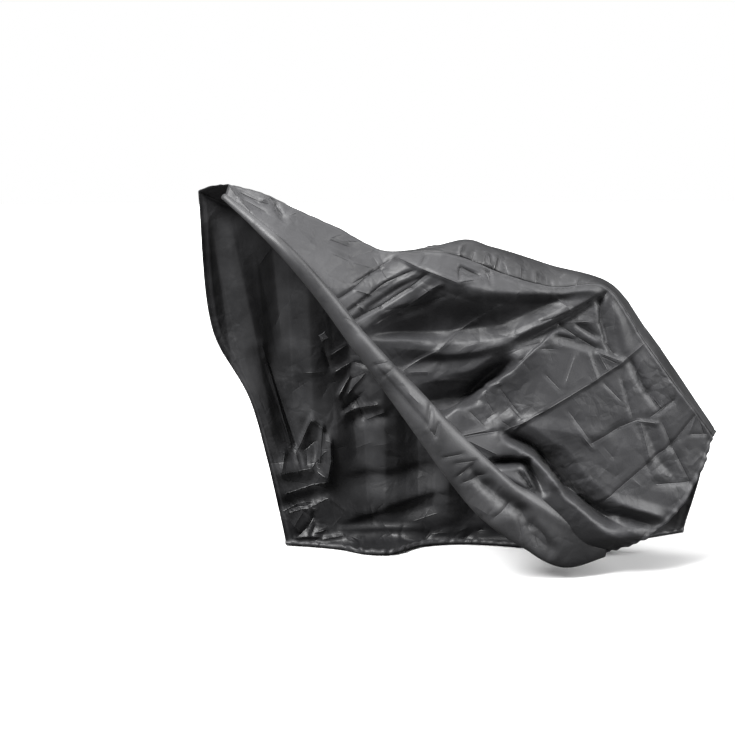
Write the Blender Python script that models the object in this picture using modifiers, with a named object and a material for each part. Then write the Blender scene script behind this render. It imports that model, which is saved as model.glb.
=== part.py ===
"""
Fitted bicycle cover of thin black woven polyester, with the front half of one side rolled back.

Metres, +Z up. The cover's front points to -X and its rolled-back, near side to -Y. The floor is z = 0, and the
origin lies on it under the middle of the cover. The tables below are measured from FRONT_OF_MIDDLE instead, a
point on the floor that is nearer to the front, and every mesh is moved from there to the origin.

Three cut pieces make the cover: a near and a far side panel, and the gusset strip between them, which runs from
the front end over the top and down the tail. Along all three a "station" runs from 0 at the front to 1 at the
tail, so the edges that are sewn together share their stations. A fourth piece is a small square patch.

Each piece is a surface of two parameters, worked out from a table with one row for each section and bent by a
table of folds, then given its thickness.
"""
import bpy
import math
import numpy as np

# ---------------------------------------------------------------- sizes

CLOTH = 0.0018            # thickness of the cloth as modelled
NEAR_PARTING = 0.0024     # space between the two edges that meet along the near seam
FAR_PARTING = 0.0017      # the same along the far seam, where the cloths meet at a flatter angle
PATCH_SIDE = 0.024        # the square reinforcing patch
PATCH_THICKNESS = 0.0012
PATCH_GAP = 0.0005        # space between the patch and the cloth that it is sewn to
PATCH_TURN = 30           # degrees that the patch is turned in the plane of the cloth

STATIONS = 65             # grid lines along each panel
RIB_LINES = 30            # grid lines from the roll up to the near seam
ROLL_LINES = 9            # grid lines around the roll
ROLL_SWEEP = 285          # degrees that the cloth travels around the roll
ROLL_TIGHTENING = 0.10    # share by which the roll's layers draw in over one whole turn
GUSSET_LINES = 7          # grid lines across the gusset
HANG_LINES = 20           # grid lines down the far panel
NARROWEST_FOLD = 0.015    # half width of the narrowest fold that these grid lines can carry

FRONT_OF_MIDDLE = (0.339, 0.087, 0.0)    # the origin, in the coordinates of the tables
PATCH_PLACE = (-0.070, 0.702)            # x and z of the patch, seen from the side


def table(columns, *rows):
    """A table with named columns, as one array for each column."""
    return dict(zip(columns.split(), np.array(rows, dtype=float).T))


# The two seams and the crown line of the gusset between them.
SEAMS = table(
    "station  near_x  near_y  near_z   crown_x crown_y crown_z   far_x   far_y   far_z",
    (0 / 12, -0.365, 0.080, 1.180, -0.412, 0.140, 1.176, -0.455, 0.200, 1.160),
    (1 / 12, -0.269, 0.050, 1.156, -0.300, 0.145, 1.140, -0.330, 0.232, 1.105),
    (2 / 12, -0.159, 0.030, 1.103, -0.175, 0.130, 1.090, -0.195, 0.222, 1.045),
    (3 / 12, -0.041, 0.020, 1.050, -0.050, 0.110, 1.036, -0.060, 0.195, 0.985),
    (4 / 12, 0.090, 0.000, 0.985, 0.087, 0.080, 0.976, 0.085, 0.165, 0.935),
    (5 / 12, 0.241, -0.080, 0.986, 0.243, 0.020, 0.998, 0.238, 0.140, 0.945),
    (5.5 / 12, 0.315, -0.097, 0.968, 0.336, 0.005, 1.018, 0.320, 0.135, 0.955),
    (6 / 12, 0.403, -0.114, 0.931, 0.410, 0.000, 0.996, 0.400, 0.130, 0.935),
    (7 / 12, 0.569, -0.128, 0.885, 0.580, 0.000, 0.943, 0.572, 0.125, 0.890),
    (8 / 12, 0.729, -0.120, 0.882, 0.772, 0.000, 0.885, 0.745, 0.120, 0.855),
    (9 / 12, 0.850, -0.120, 0.720, 0.888, 0.000, 0.750, 0.866, 0.120, 0.712),
    (10 / 12, 0.941, -0.120, 0.598, 0.978, 0.000, 0.630, 0.960, 0.120, 0.590),
    (11 / 12, 1.013, -0.110, 0.510, 1.062, 0.000, 0.512, 1.045, 0.110, 0.490),
    (12 / 12, 1.098, -0.060, 0.412, 1.130, 0.000, 0.420, 1.125, 0.065, 0.385),
)

# The near panel's ribs: where each leaves the roll, the bow of its middle towards the tail and the floor, and its
# depth at a quarter, half and three quarters of its length. The roll's half width and half thickness follow.
RIBS = table(
    "station  roll_x  roll_y  roll_z  bow    quarter_y  half_y  upper_y  roll_wide  roll_thick",
    (0 / 12, -0.379, 0.060, 1.143, 0.000, 0.062, 0.068, 0.075, 0.010, 0.008),
    (1 / 12, -0.302, -0.020, 1.073, 0.000, -0.010, 0.010, 0.032, 0.015, 0.012),
    (2 / 12, -0.233, -0.090, 0.998, 0.000, -0.075, -0.045, -0.008, 0.020, 0.020),
    (3 / 12, -0.159, -0.118, 0.913, 0.000, -0.098, -0.064, -0.022, 0.022, 0.024),
    (4 / 12, -0.089, -0.130, 0.828, 0.000, -0.112, -0.084, -0.045, 0.025, 0.027),
    (5 / 12, -0.014, -0.134, 0.741, 0.000, -0.106, -0.098, -0.116, 0.029, 0.030),
    (6 / 12, 0.060, -0.136, 0.655, 0.000, -0.086, -0.092, -0.150, 0.035, 0.033),
    (7 / 12, 0.136, -0.136, 0.566, 0.005, -0.080, -0.106, -0.126, 0.044, 0.035),
    (8 / 12, 0.222, -0.140, 0.459, 0.010, -0.092, -0.140, -0.130, 0.053, 0.034),
    (9 / 12, 0.309, -0.148, 0.356, 0.014, -0.158, -0.170, -0.148, 0.064, 0.030),
    (10 / 12, 0.400, -0.150, 0.261, 0.020, -0.176, -0.172, -0.148, 0.072, 0.026),
    (11 / 12, 0.524, -0.140, 0.177, 0.036, -0.186, -0.166, -0.140, 0.078, 0.022),
    (11.5 / 12, 0.627, -0.126, 0.104, 0.058, -0.182, -0.156, -0.124, 0.066, 0.017),
    (12 / 12, 0.748, -0.110, 0.075, 0.058, -0.160, -0.140, -0.102, 0.014, 0.008),
)

# The far panel's falls: two places on the way down, the fold where the cloth turns onto the floor, and its hem.
FALLS = table(
    "station  upper_x upper_y upper_z  lower_x lower_y lower_z  fold_x fold_y fold_z  hem_x  hem_y  hem_z",
    (0.00, -0.420, 0.275, 0.740, -0.292, 0.305, 0.470, -0.190, 0.372, 0.030, -0.188, 0.360, 0.004),
    (0.08, -0.330, 0.270, 0.780, -0.230, 0.320, 0.420, -0.120, 0.370, 0.014, -0.108, 0.330, 0.003),
    (0.17, -0.220, 0.285, 0.740, -0.140, 0.330, 0.400, -0.040, 0.360, 0.012, -0.020, 0.285, 0.003),
    (0.27, -0.080, 0.265, 0.700, -0.030, 0.310, 0.380, 0.050, 0.350, 0.012, 0.062, 0.215, 0.003),
    (0.36, 0.070, 0.250, 0.660, 0.085, 0.320, 0.360, 0.140, 0.345, 0.012, 0.150, 0.205, 0.003),
    (0.45, 0.230, 0.215, 0.650, 0.225, 0.290, 0.350, 0.240, 0.345, 0.012, 0.250, 0.285, 0.003),
    (0.54, 0.390, 0.200, 0.640, 0.375, 0.265, 0.340, 0.370, 0.340, 0.012, 0.375, 0.300, 0.003),
    (0.63, 0.550, 0.185, 0.610, 0.525, 0.240, 0.320, 0.510, 0.315, 0.012, 0.505, 0.265, 0.003),
    (0.72, 0.710, 0.170, 0.590, 0.675, 0.210, 0.300, 0.650, 0.265, 0.014, 0.635, 0.200, 0.004),
    (0.81, 0.840, 0.160, 0.510, 0.800, 0.190, 0.260, 0.775, 0.205, 0.030, 0.752, 0.120, 0.012),
    (0.90, 0.950, 0.150, 0.430, 0.915, 0.170, 0.230, 0.890, 0.165, 0.065, 0.870, 0.095, 0.045),
    (1.00, 1.118, 0.085, 0.270, 1.104, 0.105, 0.180, 1.083, 0.122, 0.085, 1.078, 0.116, 0.067),
)

# Folds, drawn on the side view as lines from one point to another, which may bow sideways. A ridge stands out and a
# trough goes in, and the section's two sides have widths of their own: left and right, as one goes along the line.
FOLD_COLUMNS = "from_x  from_z   to_x   to_z   bow   height  left  right"
NEAR_FOLDS = table(
    FOLD_COLUMNS,
    # the shoulder under the hump
    (0.118, 0.971, 0.229, 0.922, 0.000, 0.014, 0.026, 0.020),
    (0.229, 0.922, 0.345, 0.877, -0.003, 0.022, 0.028, 0.018),
    (0.345, 0.877, 0.593, 0.865, -0.003, 0.022, 0.028, 0.018),
    (0.593, 0.865, 0.707, 0.882, 0.000, 0.012, 0.020, 0.014),
    # the hollow below it
    (0.078, 0.754, 0.218, 0.744, 0.000, -0.022, 0.050, 0.012),
    (0.217, 0.746, 0.416, 0.767, -0.002, -0.030, 0.060, 0.018),
    (0.416, 0.767, 0.591, 0.847, 0.000, -0.018, 0.040, 0.014),
    # pulls that fan from the roll
    (-0.061, 0.850, 0.071, 0.939, 0.000, -0.007, 0.010, 0.018),
    (-0.035, 0.815, 0.160, 0.938, 0.000, -0.008, 0.009, 0.016),
    (-0.020, 0.792, 0.188, 0.923, 0.003, -0.013, 0.010, 0.012),
    (0.017, 0.774, 0.230, 0.898, 0.000, 0.007, 0.013, 0.010),
    (0.075, 0.792, 0.212, 0.840, 0.000, -0.009, 0.012, 0.014),
    # swags across the middle
    (0.106, 0.714, 0.230, 0.696, -0.003, 0.008, 0.024, 0.014),
    (0.230, 0.689, 0.414, 0.715, -0.006, 0.017, 0.034, 0.014),
    (0.414, 0.715, 0.597, 0.810, -0.004, 0.013, 0.028, 0.012),
    (0.102, 0.660, 0.242, 0.664, 0.000, -0.008, 0.020, 0.014),
    (0.241, 0.620, 0.504, 0.690, -0.004, 0.008, 0.022, 0.012),
    (0.473, 0.749, 0.703, 0.865, -0.003, 0.016, 0.024, 0.010),
    (0.474, 0.727, 0.707, 0.843, -0.003, -0.012, 0.008, 0.014),
    # the deep hollow and the ledge where the cloth comes forward
    (0.040, 0.720, 0.231, 0.529, 0.000, -0.030, 0.060, 0.016),
    (0.201, 0.536, 0.333, 0.542, -0.004, -0.058, 0.056, 0.012),
    (0.333, 0.542, 0.437, 0.637, 0.002, -0.044, 0.050, 0.011),
    (0.274, 0.503, 0.369, 0.552, 0.000, 0.013, 0.009, 0.030),
    (0.369, 0.552, 0.440, 0.611, 0.002, 0.012, 0.009, 0.028),
    (0.440, 0.611, 0.572, 0.736, 0.004, 0.011, 0.008, 0.024),
    (0.582, 0.734, 0.708, 0.697, 0.004, -0.010, 0.010, 0.010),
    # folds that hang from the tail's corner
    (0.713, 0.838, 0.754, 0.681, 0.000, -0.014, 0.010, 0.010),
    (0.753, 0.845, 0.791, 0.702, 0.000, 0.010, 0.016, 0.016),
    (0.643, 0.779, 0.703, 0.737, 0.000, -0.009, 0.010, 0.008),
    (0.812, 0.659, 0.893, 0.527, -0.002, -0.013, 0.009, 0.012),
    (0.707, 0.684, 0.770, 0.659, 0.000, 0.008, 0.010, 0.010),
    # dips between the packing creases
    (0.851, 0.473, 0.895, 0.386, 0.000, -0.012, 0.020, 0.020),
    (0.890, 0.381, 0.956, 0.305, 0.000, -0.010, 0.018, 0.016),
    (0.498, 0.481, 0.715, 0.446, 0.000, 0.008, 0.020, 0.030),
    # the deep valley beside the roll's flat end, and the lip above it
    (0.450, 0.465, 0.560, 0.400, 0.006, 0.014, 0.030, 0.008),
    (0.560, 0.400, 0.638, 0.302, 0.002, 0.014, 0.030, 0.008),
    (0.638, 0.302, 0.746, 0.217, 0.000, 0.012, 0.030, 0.008),
    (0.444, 0.452, 0.554, 0.376, 0.006, -0.046, 0.022, 0.020),
    (0.554, 0.376, 0.623, 0.284, 0.002, -0.056, 0.026, 0.022),
    (0.623, 0.284, 0.737, 0.188, 0.000, -0.054, 0.026, 0.022),
    (0.737, 0.188, 0.795, 0.161, 0.000, -0.030, 0.020, 0.018),
    # the lobe under it
    (0.458, 0.416, 0.568, 0.316, 0.004, 0.014, 0.018, 0.018),
    (0.568, 0.316, 0.683, 0.232, 0.000, 0.014, 0.018, 0.016),
    # the pocket under the lobe
    (0.390, 0.369, 0.488, 0.370, 0.003, -0.038, 0.012, 0.012),
    (0.488, 0.370, 0.535, 0.282, 0.003, -0.036, 0.012, 0.012),
    (0.420, 0.341, 0.479, 0.304, 0.000, 0.014, 0.012, 0.012),
)

FAR_FOLDS = table(
    FOLD_COLUMNS,
    (-0.405, 1.020, -0.350, 0.560, 0.0, 0.016, 0.026, 0.026),   # long drapes below the front peak
    (-0.350, 1.030, -0.230, 0.420, 0.0, -0.022, 0.034, 0.034),
    (-0.268, 0.640, -0.140, 0.268, 0.0, 0.026, 0.028, 0.028),
    (-0.230, 1.000, -0.200, 0.700, 0.0, 0.018, 0.030, 0.030),
    (-0.120, 0.940, -0.095, 0.440, 0.0, -0.024, 0.036, 0.036),
    (-0.119, 0.408, -0.078, 0.273, 0.0, 0.020, 0.024, 0.024),
    (-0.052, 0.355, -0.056, 0.200, 0.0, -0.024, 0.022, 0.022),
    (-0.010, 0.860, 0.050, 0.300, 0.0, 0.024, 0.034, 0.034),
    (0.055, 0.558, 0.100, 0.488, 0.0, -0.018, 0.028, 0.028),
    (0.110, 0.850, 0.150, 0.120, 0.0, -0.026, 0.036, 0.036),
    (0.036, 0.418, 0.146, 0.445, 0.0, 0.014, 0.020, 0.020),
    (0.215, 0.820, 0.250, 0.150, 0.0, 0.028, 0.038, 0.038),
    (0.330, 0.880, 0.345, 0.120, 0.0, -0.028, 0.040, 0.040),
    (0.290, 0.620, 0.300, 0.120, 0.0, 0.016, 0.026, 0.026),
    (0.430, 0.820, 0.440, 0.100, 0.0, 0.026, 0.036, 0.036),
    (0.530, 0.800, 0.525, 0.120, 0.0, -0.028, 0.040, 0.040),
    (0.485, 0.560, 0.480, 0.100, 0.0, -0.012, 0.022, 0.022),
    (0.640, 0.780, 0.610, 0.100, 0.0, 0.026, 0.038, 0.038),
    (0.740, 0.780, 0.700, 0.160, 0.0, -0.026, 0.036, 0.036),
    (0.665, 0.420, 0.650, 0.100, 0.0, 0.014, 0.024, 0.024),
    (0.850, 0.640, 0.800, 0.180, 0.0, 0.024, 0.036, 0.036),
    (0.930, 0.520, 0.890, 0.200, 0.0, -0.022, 0.032, 0.032),
    (1.010, 0.440, 0.980, 0.180, 0.0, 0.018, 0.030, 0.030),
    (-0.207, 0.257, -0.098, 0.261, 0.0, -0.016, 0.022, 0.022),  # creases across the foot of the drapes
    (-0.192, 0.135, -0.059, 0.167, 0.0, 0.016, 0.020, 0.020),
    (0.080, 0.120, 0.330, 0.110, 0.0, 0.018, 0.024, 0.024),
    (0.420, 0.230, 0.700, 0.180, 0.0, -0.012, 0.026, 0.026),
)


# ---------------------------------------------------------------- surfaces


def smooth(at, knots, values):
    """Cubic through the knots: a Hermite curve on each span, its end slopes taken from the knots on either side."""
    slopes = np.gradient(values, knots, axis=0)
    span = np.clip(np.searchsorted(knots, at, side="right") - 1, 0, len(knots) - 2)
    shape = (-1,) + (1,) * (values.ndim - 1)
    width = (knots[span + 1] - knots[span]).reshape(shape)
    t = (at - knots[span]).reshape(shape) / width
    start = (1 + 2 * t) * (1 - t) ** 2 * values[span] + t * (1 - t) ** 2 * width * slopes[span]
    end = t * t * (3 - 2 * t) * values[span + 1] - t * t * (1 - t) * width * slopes[span + 1]
    return start + end


def line(rows, station, columns):
    """The smooth curve that three columns of a table describe, as one point for each station."""
    values = np.stack([rows[name] for name in columns.split()], axis=-1)
    return smooth(station, rows["station"], values)


def unit(vectors):
    """Vectors of length one."""
    return vectors / np.maximum(np.linalg.norm(vectors, axis=-1, keepdims=True), 1e-9)


def normals(points, outward_y):
    """Directions square to a grid of points, on the side that outward_y gives."""
    across = np.cross(np.gradient(points, axis=0), np.gradient(points, axis=1))
    middle = across[across.shape[0] // 2, across.shape[1] // 2]
    return unit(across) * math.copysign(1.0, middle[1] * outward_y)


def fold_height(folds, x, z):
    """
    Sum of the folds at each place. Along a line t runs from 0 to 1, and d is the distance from it, less its bow
    4t(1 - t). The section is exp(-(d / width)^2), and it dies out past the two ends. A side that is narrower than
    the grid can carry is made wider and, to keep its area, lower.
    """
    total = np.zeros_like(x)
    for from_x, from_z, to_x, to_z, bow, height, left, right in zip(*folds.values()):
        length = math.hypot(to_x - from_x, to_z - from_z)
        run_x, run_z = (to_x - from_x) / length, (to_z - from_z) / length
        t = ((x - from_x) * run_x + (z - from_z) * run_z) / length
        inside = np.clip(t, 0, 1)
        off = (z - from_z) * run_x - (x - from_x) * run_z - bow * 4 * inside * (1 - inside)
        wide_left, wide_right = max(left, NARROWEST_FOLD), max(right, NARROWEST_FOLD)
        past = np.abs(t - inside) * length / (wide_left + wide_right)
        distance = np.hypot(off / np.where(off > 0, wide_left, wide_right), 2 * past)
        lower = (left + right) / (wide_left + wide_right)
        total += height * lower * np.exp(-distance ** 2) * (1 - 0.45 * (2 * inside - 1) ** 2)
    return total


def edge_fade(share, start, end):
    """0 at share 0 and 1, rising to 1 within the given lengths, so that folds die out towards an edge."""
    rise = np.clip(share / start, 0, 1) if start else np.ones_like(share)
    fall = np.clip((1 - share) / end, 0, 1) if end else np.ones_like(share)
    return np.sin(rise * math.pi / 2) ** 2 * np.sin(fall * math.pi / 2) ** 2


def part_from_seam(points, side, parting):
    """Draw the first or the last line of a grid back by half of a seam's parting, along the cloth."""
    edge, inner = (points[:, 0], points[:, 1]) if side == "first" else (points[:, -1], points[:, -2])
    edge += unit(inner - edge) * parting / 2
    return points


def near_cloth(station, rib):
    """
    The near panel above the roll. Each rib is a straight line from the roll to the near seam in the side view,
    bowed towards the tail and the floor by a parabola, and its depth is a smooth curve through five values.
    """
    low = line(RIBS, station, "roll_x roll_y roll_z")
    high = line(SEAMS, station, "near_x near_y near_z")
    inner = line(RIBS, station, "quarter_y half_y upper_y")
    depths = np.stack([low[:, 1], *inner.T, high[:, 1]])
    points = low[:, None] + (high - low)[:, None] * rib[None, :, None]
    points[..., 1] = smooth(rib, np.linspace(0, 1, len(depths)), depths).T
    rise = high - low
    bow_way = unit(np.stack([rise[:, 2], np.zeros(len(rise)), -rise[:, 0]], axis=-1))
    bow = smooth(station, RIBS["station"], RIBS["bow"])
    points += bow_way[:, None] * (bow[:, None] * 4 * rib * (1 - rib))[..., None]
    height = fold_height(NEAR_FOLDS, points[..., 0], points[..., 2]) * edge_fade(rib, 0.04, 0.05)
    return points + normals(points, -1) * height[..., None]


def rolled_edge(cloth, station):
    """
    The rolled front edge, from its inner end to the line where it meets the panel. Its section is an ellipse that
    lies on the panel: the cloth goes round it by the lower side, over the front and back in on the upper side.
    """
    root = cloth[:, 0]
    along = unit(np.gradient(root, axis=0))
    across = line(SEAMS, station, "near_x near_y near_z") - root
    across = unit(across - along * np.sum(across * along, axis=-1, keepdims=True))
    out = unit(np.cross(along, across))
    out *= np.where(out[:, 1:2] > 0, -1, 1)
    wide = smooth(station, RIBS["station"], RIBS["roll_wide"])
    thick = smooth(station, RIBS["station"], RIBS["roll_thick"])
    turn = np.radians(np.linspace(ROLL_SWEEP, 0, ROLL_LINES, endpoint=False))
    size = 1 - ROLL_TIGHTENING * turn / math.tau
    sideways = -np.sin(turn) * size * wide[:, None]
    forward = (1 - np.cos(turn) * size) * thick[:, None]
    return root[:, None] + across[:, None] * sideways[..., None] + out[:, None] * forward[..., None]


def near_side():
    """The near panel: its rolled edge and, joined to it without a seam, the cloth up to the near seam."""
    station = np.linspace(0, 1, STATIONS)
    cloth = near_cloth(station, np.linspace(0, 1, RIB_LINES))
    return part_from_seam(np.concatenate([rolled_edge(cloth, station), cloth], axis=1), "last", NEAR_PARTING)


def gusset():
    """The gusset: across each station a parabola through the near seam, the crown line and the far seam."""
    station = np.linspace(0, 1, STATIONS)
    share = np.linspace(0, 1, GUSSET_LINES)[None, :, None]
    near = line(SEAMS, station, "near_x near_y near_z")[:, None]
    crown = line(SEAMS, station, "crown_x crown_y crown_z")[:, None]
    far = line(SEAMS, station, "far_x far_y far_z")[:, None]
    points = near * (1 - share) * (1 - 2 * share) + crown * 4 * share * (1 - share) + far * share * (2 * share - 1)
    return part_from_seam(part_from_seam(points, "first", NEAR_PARTING), "last", FAR_PARTING)


def far_side():
    """
    The far panel: down each station a smooth curve from the far seam through two places of the fall to the fold at
    the floor, and on along the floor to the hem.
    """
    station = np.linspace(0, 1, STATIONS)
    fall = np.linspace(0, 1, HANG_LINES)
    stops = [
        line(SEAMS, station, "far_x far_y far_z"),
        line(FALLS, station, "upper_x upper_y upper_z"),
        line(FALLS, station, "lower_x lower_y lower_z"),
        line(FALLS, station, "fold_x fold_y fold_z"),
        line(FALLS, station, "hem_x hem_y hem_z"),
    ]
    knots = np.array([0.0, 0.30, 0.60, 0.88, 1.0])
    points = smooth(fall, knots, np.stack(stops)).transpose(1, 0, 2)
    points[..., 2] = np.maximum(points[..., 2], FALLS["hem_z"].min())
    height = fold_height(FAR_FOLDS, points[..., 0], points[..., 2]) * edge_fade(fall, 0.10, 0.16)
    return part_from_seam(points + normals(points, 1) * height[..., None], "first", FAR_PARTING)


# ---------------------------------------------------------------- objects


def clear_scene():
    """Remove every object, so that the cover stands alone."""
    for item in list(bpy.data.objects):
        bpy.data.objects.remove(item, do_unlink=True)


def finish(name, colour, roughness):
    """A cloth or thread finish: a plain Principled surface."""
    material = bpy.data.materials.new(name)
    material.use_nodes = True
    shader = material.node_tree.nodes["Principled BSDF"]
    shader.inputs["Base Color"].default_value = (*colour, 1.0)
    shader.inputs["Roughness"].default_value = roughness
    shader.inputs["Metallic"].default_value = 0.0
    return material


def thicken(item, thickness):
    """Give an open sheet its thickness, half of it to each side."""
    solidify = item.modifiers.new("thickness", "SOLIDIFY")
    solidify.thickness = thickness
    solidify.offset = 0.0


def sheet(name, points, outward_y, material, collection):
    """A sheet of cloth from a grid of points, with its outside towards outward_y."""
    lines, steps = points.shape[:2]
    index = np.arange(lines * steps).reshape(lines, steps)
    quads = np.stack([index[:-1, :-1], index[1:, :-1], index[1:, 1:], index[:-1, 1:]], axis=-1).reshape(-1, 4)
    across = np.cross(np.gradient(points, axis=0), np.gradient(points, axis=1))
    if across[lines // 2, steps // 2, 1] * outward_y < 0:
        quads = quads[:, ::-1]
    mesh = bpy.data.meshes.new(name)
    mesh.from_pydata((points - FRONT_OF_MIDDLE).reshape(-1, 3).tolist(), [], quads.tolist())
    mesh.shade_smooth()
    mesh.materials.append(material)
    item = bpy.data.objects.new(name, mesh)
    collection.objects.link(item)
    thicken(item, CLOTH)
    return item


def patch(carrier, material, collection):
    """The square patch, laid onto the inside of the far panel from the near side."""
    bpy.ops.mesh.primitive_grid_add(x_subdivisions=4, y_subdivisions=4, size=PATCH_SIDE)
    item = bpy.context.object
    item.name = "reinforcing_patch"
    place_x = PATCH_PLACE[0] - FRONT_OF_MIDDLE[0]
    item.location = (place_x, 0.0, PATCH_PLACE[1])
    item.rotation_euler = (math.radians(90), math.radians(PATCH_TURN), 0)
    item.data.materials.append(material)
    for other in list(item.users_collection):
        other.objects.unlink(item)
    collection.objects.link(item)
    lay = item.modifiers.new("lay on the cloth", "SHRINKWRAP")
    lay.target = carrier
    lay.wrap_method = "PROJECT"
    lay.use_project_z = True
    lay.use_negative_direction = True
    lay.use_positive_direction = False
    lay.offset = PATCH_GAP + PATCH_THICKNESS / 2
    thicken(item, PATCH_THICKNESS)
    return item


def build():
    """The whole cover."""
    clear_scene()
    cover = bpy.data.collections.new("bicycle_cover")
    bpy.context.scene.collection.children.link(cover)
    outside = finish("black woven polyester", (0.022, 0.022, 0.024), 0.55)
    strip = finish("black woven polyester, gusset", (0.025, 0.025, 0.027), 0.55)
    inside = finish("black polyester, coated inside", (0.014, 0.014, 0.015), 0.42)
    webbing = finish("grey webbing", (0.080, 0.080, 0.086), 0.70)
    sheet("near_side_panel", near_side(), -1, outside, cover)
    sheet("top_gusset", gusset(), -1, strip, cover)
    far = sheet("far_side_panel", far_side(), 1, inside, cover)
    patch(far, webbing, cover)


build()
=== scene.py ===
# %% [markdown]
# # A fitted bicycle cover, half rolled back
#
# The object is a cover of thin black polyester in the shape in which it hangs in use. A long gusset runs
# over the top, one side hangs to the floor, and the front half of the other side is rolled back into a
# thick slanting roll. What it covers is left out, so it is a hollow shell of cloth.
#
# A cover could be draped by a cloth simulation, but chance would choose its folds. Here each cut piece is a
# surface worked out with numpy, and its folds are drawn as lines on the side view, so each lies
# where it should.
#
# The imported model is the frame. It has the right sizes, and each sheet below takes the place of one of its
# nodes.
# %% The frame
import math

import bpy
import numpy as np
from mathutils import Matrix, Vector


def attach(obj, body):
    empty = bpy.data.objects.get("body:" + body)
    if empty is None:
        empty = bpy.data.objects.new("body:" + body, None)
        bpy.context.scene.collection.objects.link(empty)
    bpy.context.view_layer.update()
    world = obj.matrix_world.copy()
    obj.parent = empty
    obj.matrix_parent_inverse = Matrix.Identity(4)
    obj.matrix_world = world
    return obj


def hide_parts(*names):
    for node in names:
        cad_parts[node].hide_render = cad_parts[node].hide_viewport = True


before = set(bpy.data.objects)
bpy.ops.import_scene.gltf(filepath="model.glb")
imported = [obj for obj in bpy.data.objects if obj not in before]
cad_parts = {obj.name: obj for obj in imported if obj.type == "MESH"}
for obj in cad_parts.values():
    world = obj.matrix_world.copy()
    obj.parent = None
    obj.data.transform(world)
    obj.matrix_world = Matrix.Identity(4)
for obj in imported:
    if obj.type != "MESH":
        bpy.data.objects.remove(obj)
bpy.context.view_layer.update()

# %% [markdown]
# ## The camera
#
# The photograph was taken from a little above the cover's top, through a lens somewhat longer than normal.
# A camera can be aimed with three angles or with a constraint. Here its axes are written out as a matrix,
# because they follow from two plain facts: how far the view turns to the right and how far it drops below
# the horizon.
# %% The camera
VIEW_FROM = (-0.8319, -4.2634, 1.2421)
VIEW_TURN = math.radians(7.244)     # to the right of straight ahead
VIEW_DROP = math.radians(8.167)     # below the horizon
SENSOR = 36.0                       # millimetres
LENS = 69.65


def set_camera():
    """A camera that looks along (sin turn, cos turn, -tan drop), with its top edge level."""
    lens = bpy.data.cameras.new("view")
    lens.lens = LENS
    lens.sensor_width = SENSOR
    camera = bpy.data.objects.new("view", lens)
    bpy.context.scene.collection.objects.link(camera)
    look = Vector((math.sin(VIEW_TURN), math.cos(VIEW_TURN), -math.tan(VIEW_DROP))).normalized()
    right = Vector((math.cos(VIEW_TURN), -math.sin(VIEW_TURN), 0.0))
    up = right.cross(look)
    camera.matrix_world = Matrix.Translation(VIEW_FROM) @ Matrix((right, up, -look)).transposed().to_4x4()
    bpy.context.scene.camera = camera


set_camera()
print("the lens sees", round(math.degrees(2 * math.atan(SENSOR / 2 / LENS)), 1), "degrees")

# %% [markdown]
# ## The cover's measures
#
# Every cut piece is a surface of two parameters. The first, the station, runs from 0 at the front to 1 at
# the tail, and pieces that are sewn together share it, so their seams meet. Blender's own curves could
# carry such lines, but a table with a row for each section is easier to read and to correct, and a smooth
# curve goes through its rows. The tables are measured in metres from a point on the floor that is forward
# of the frame's origin.
# %% A curve through a table's rows
FRONT_OF_MIDDLE = np.array((0.339, 0.087, 0.0))


def table(columns, *rows):
    """A table with named columns, as one array for each column."""
    return dict(zip(columns.split(), np.array(rows, dtype=float).T))


def smooth(at, knots, values):
    """
    Cubic through the knots: a Hermite curve on each span, its end slopes taken from the knots on either
    side.
    """
    slopes = np.gradient(values, knots, axis=0)
    span = np.clip(np.searchsorted(knots, at, side="right") - 1, 0, len(knots) - 2)
    shape = (-1,) + (1,) * (values.ndim - 1)
    width = (knots[span + 1] - knots[span]).reshape(shape)
    t = (at - knots[span]).reshape(shape) / width
    start = (1 + 2 * t) * (1 - t) ** 2 * values[span] + t * (1 - t) ** 2 * width * slopes[span]
    end = t * t * (3 - 2 * t) * values[span + 1] - t * t * (1 - t) * width * slopes[span + 1]
    return start + end


def line(rows, station, columns):
    """The smooth curve that three columns of a table describe, as one point for each station."""
    return smooth(station, rows["station"], np.stack([rows[name] for name in columns.split()], axis=-1))


print("the tables start", FRONT_OF_MIDDLE[0], "m forward of the frame's origin")

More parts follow.
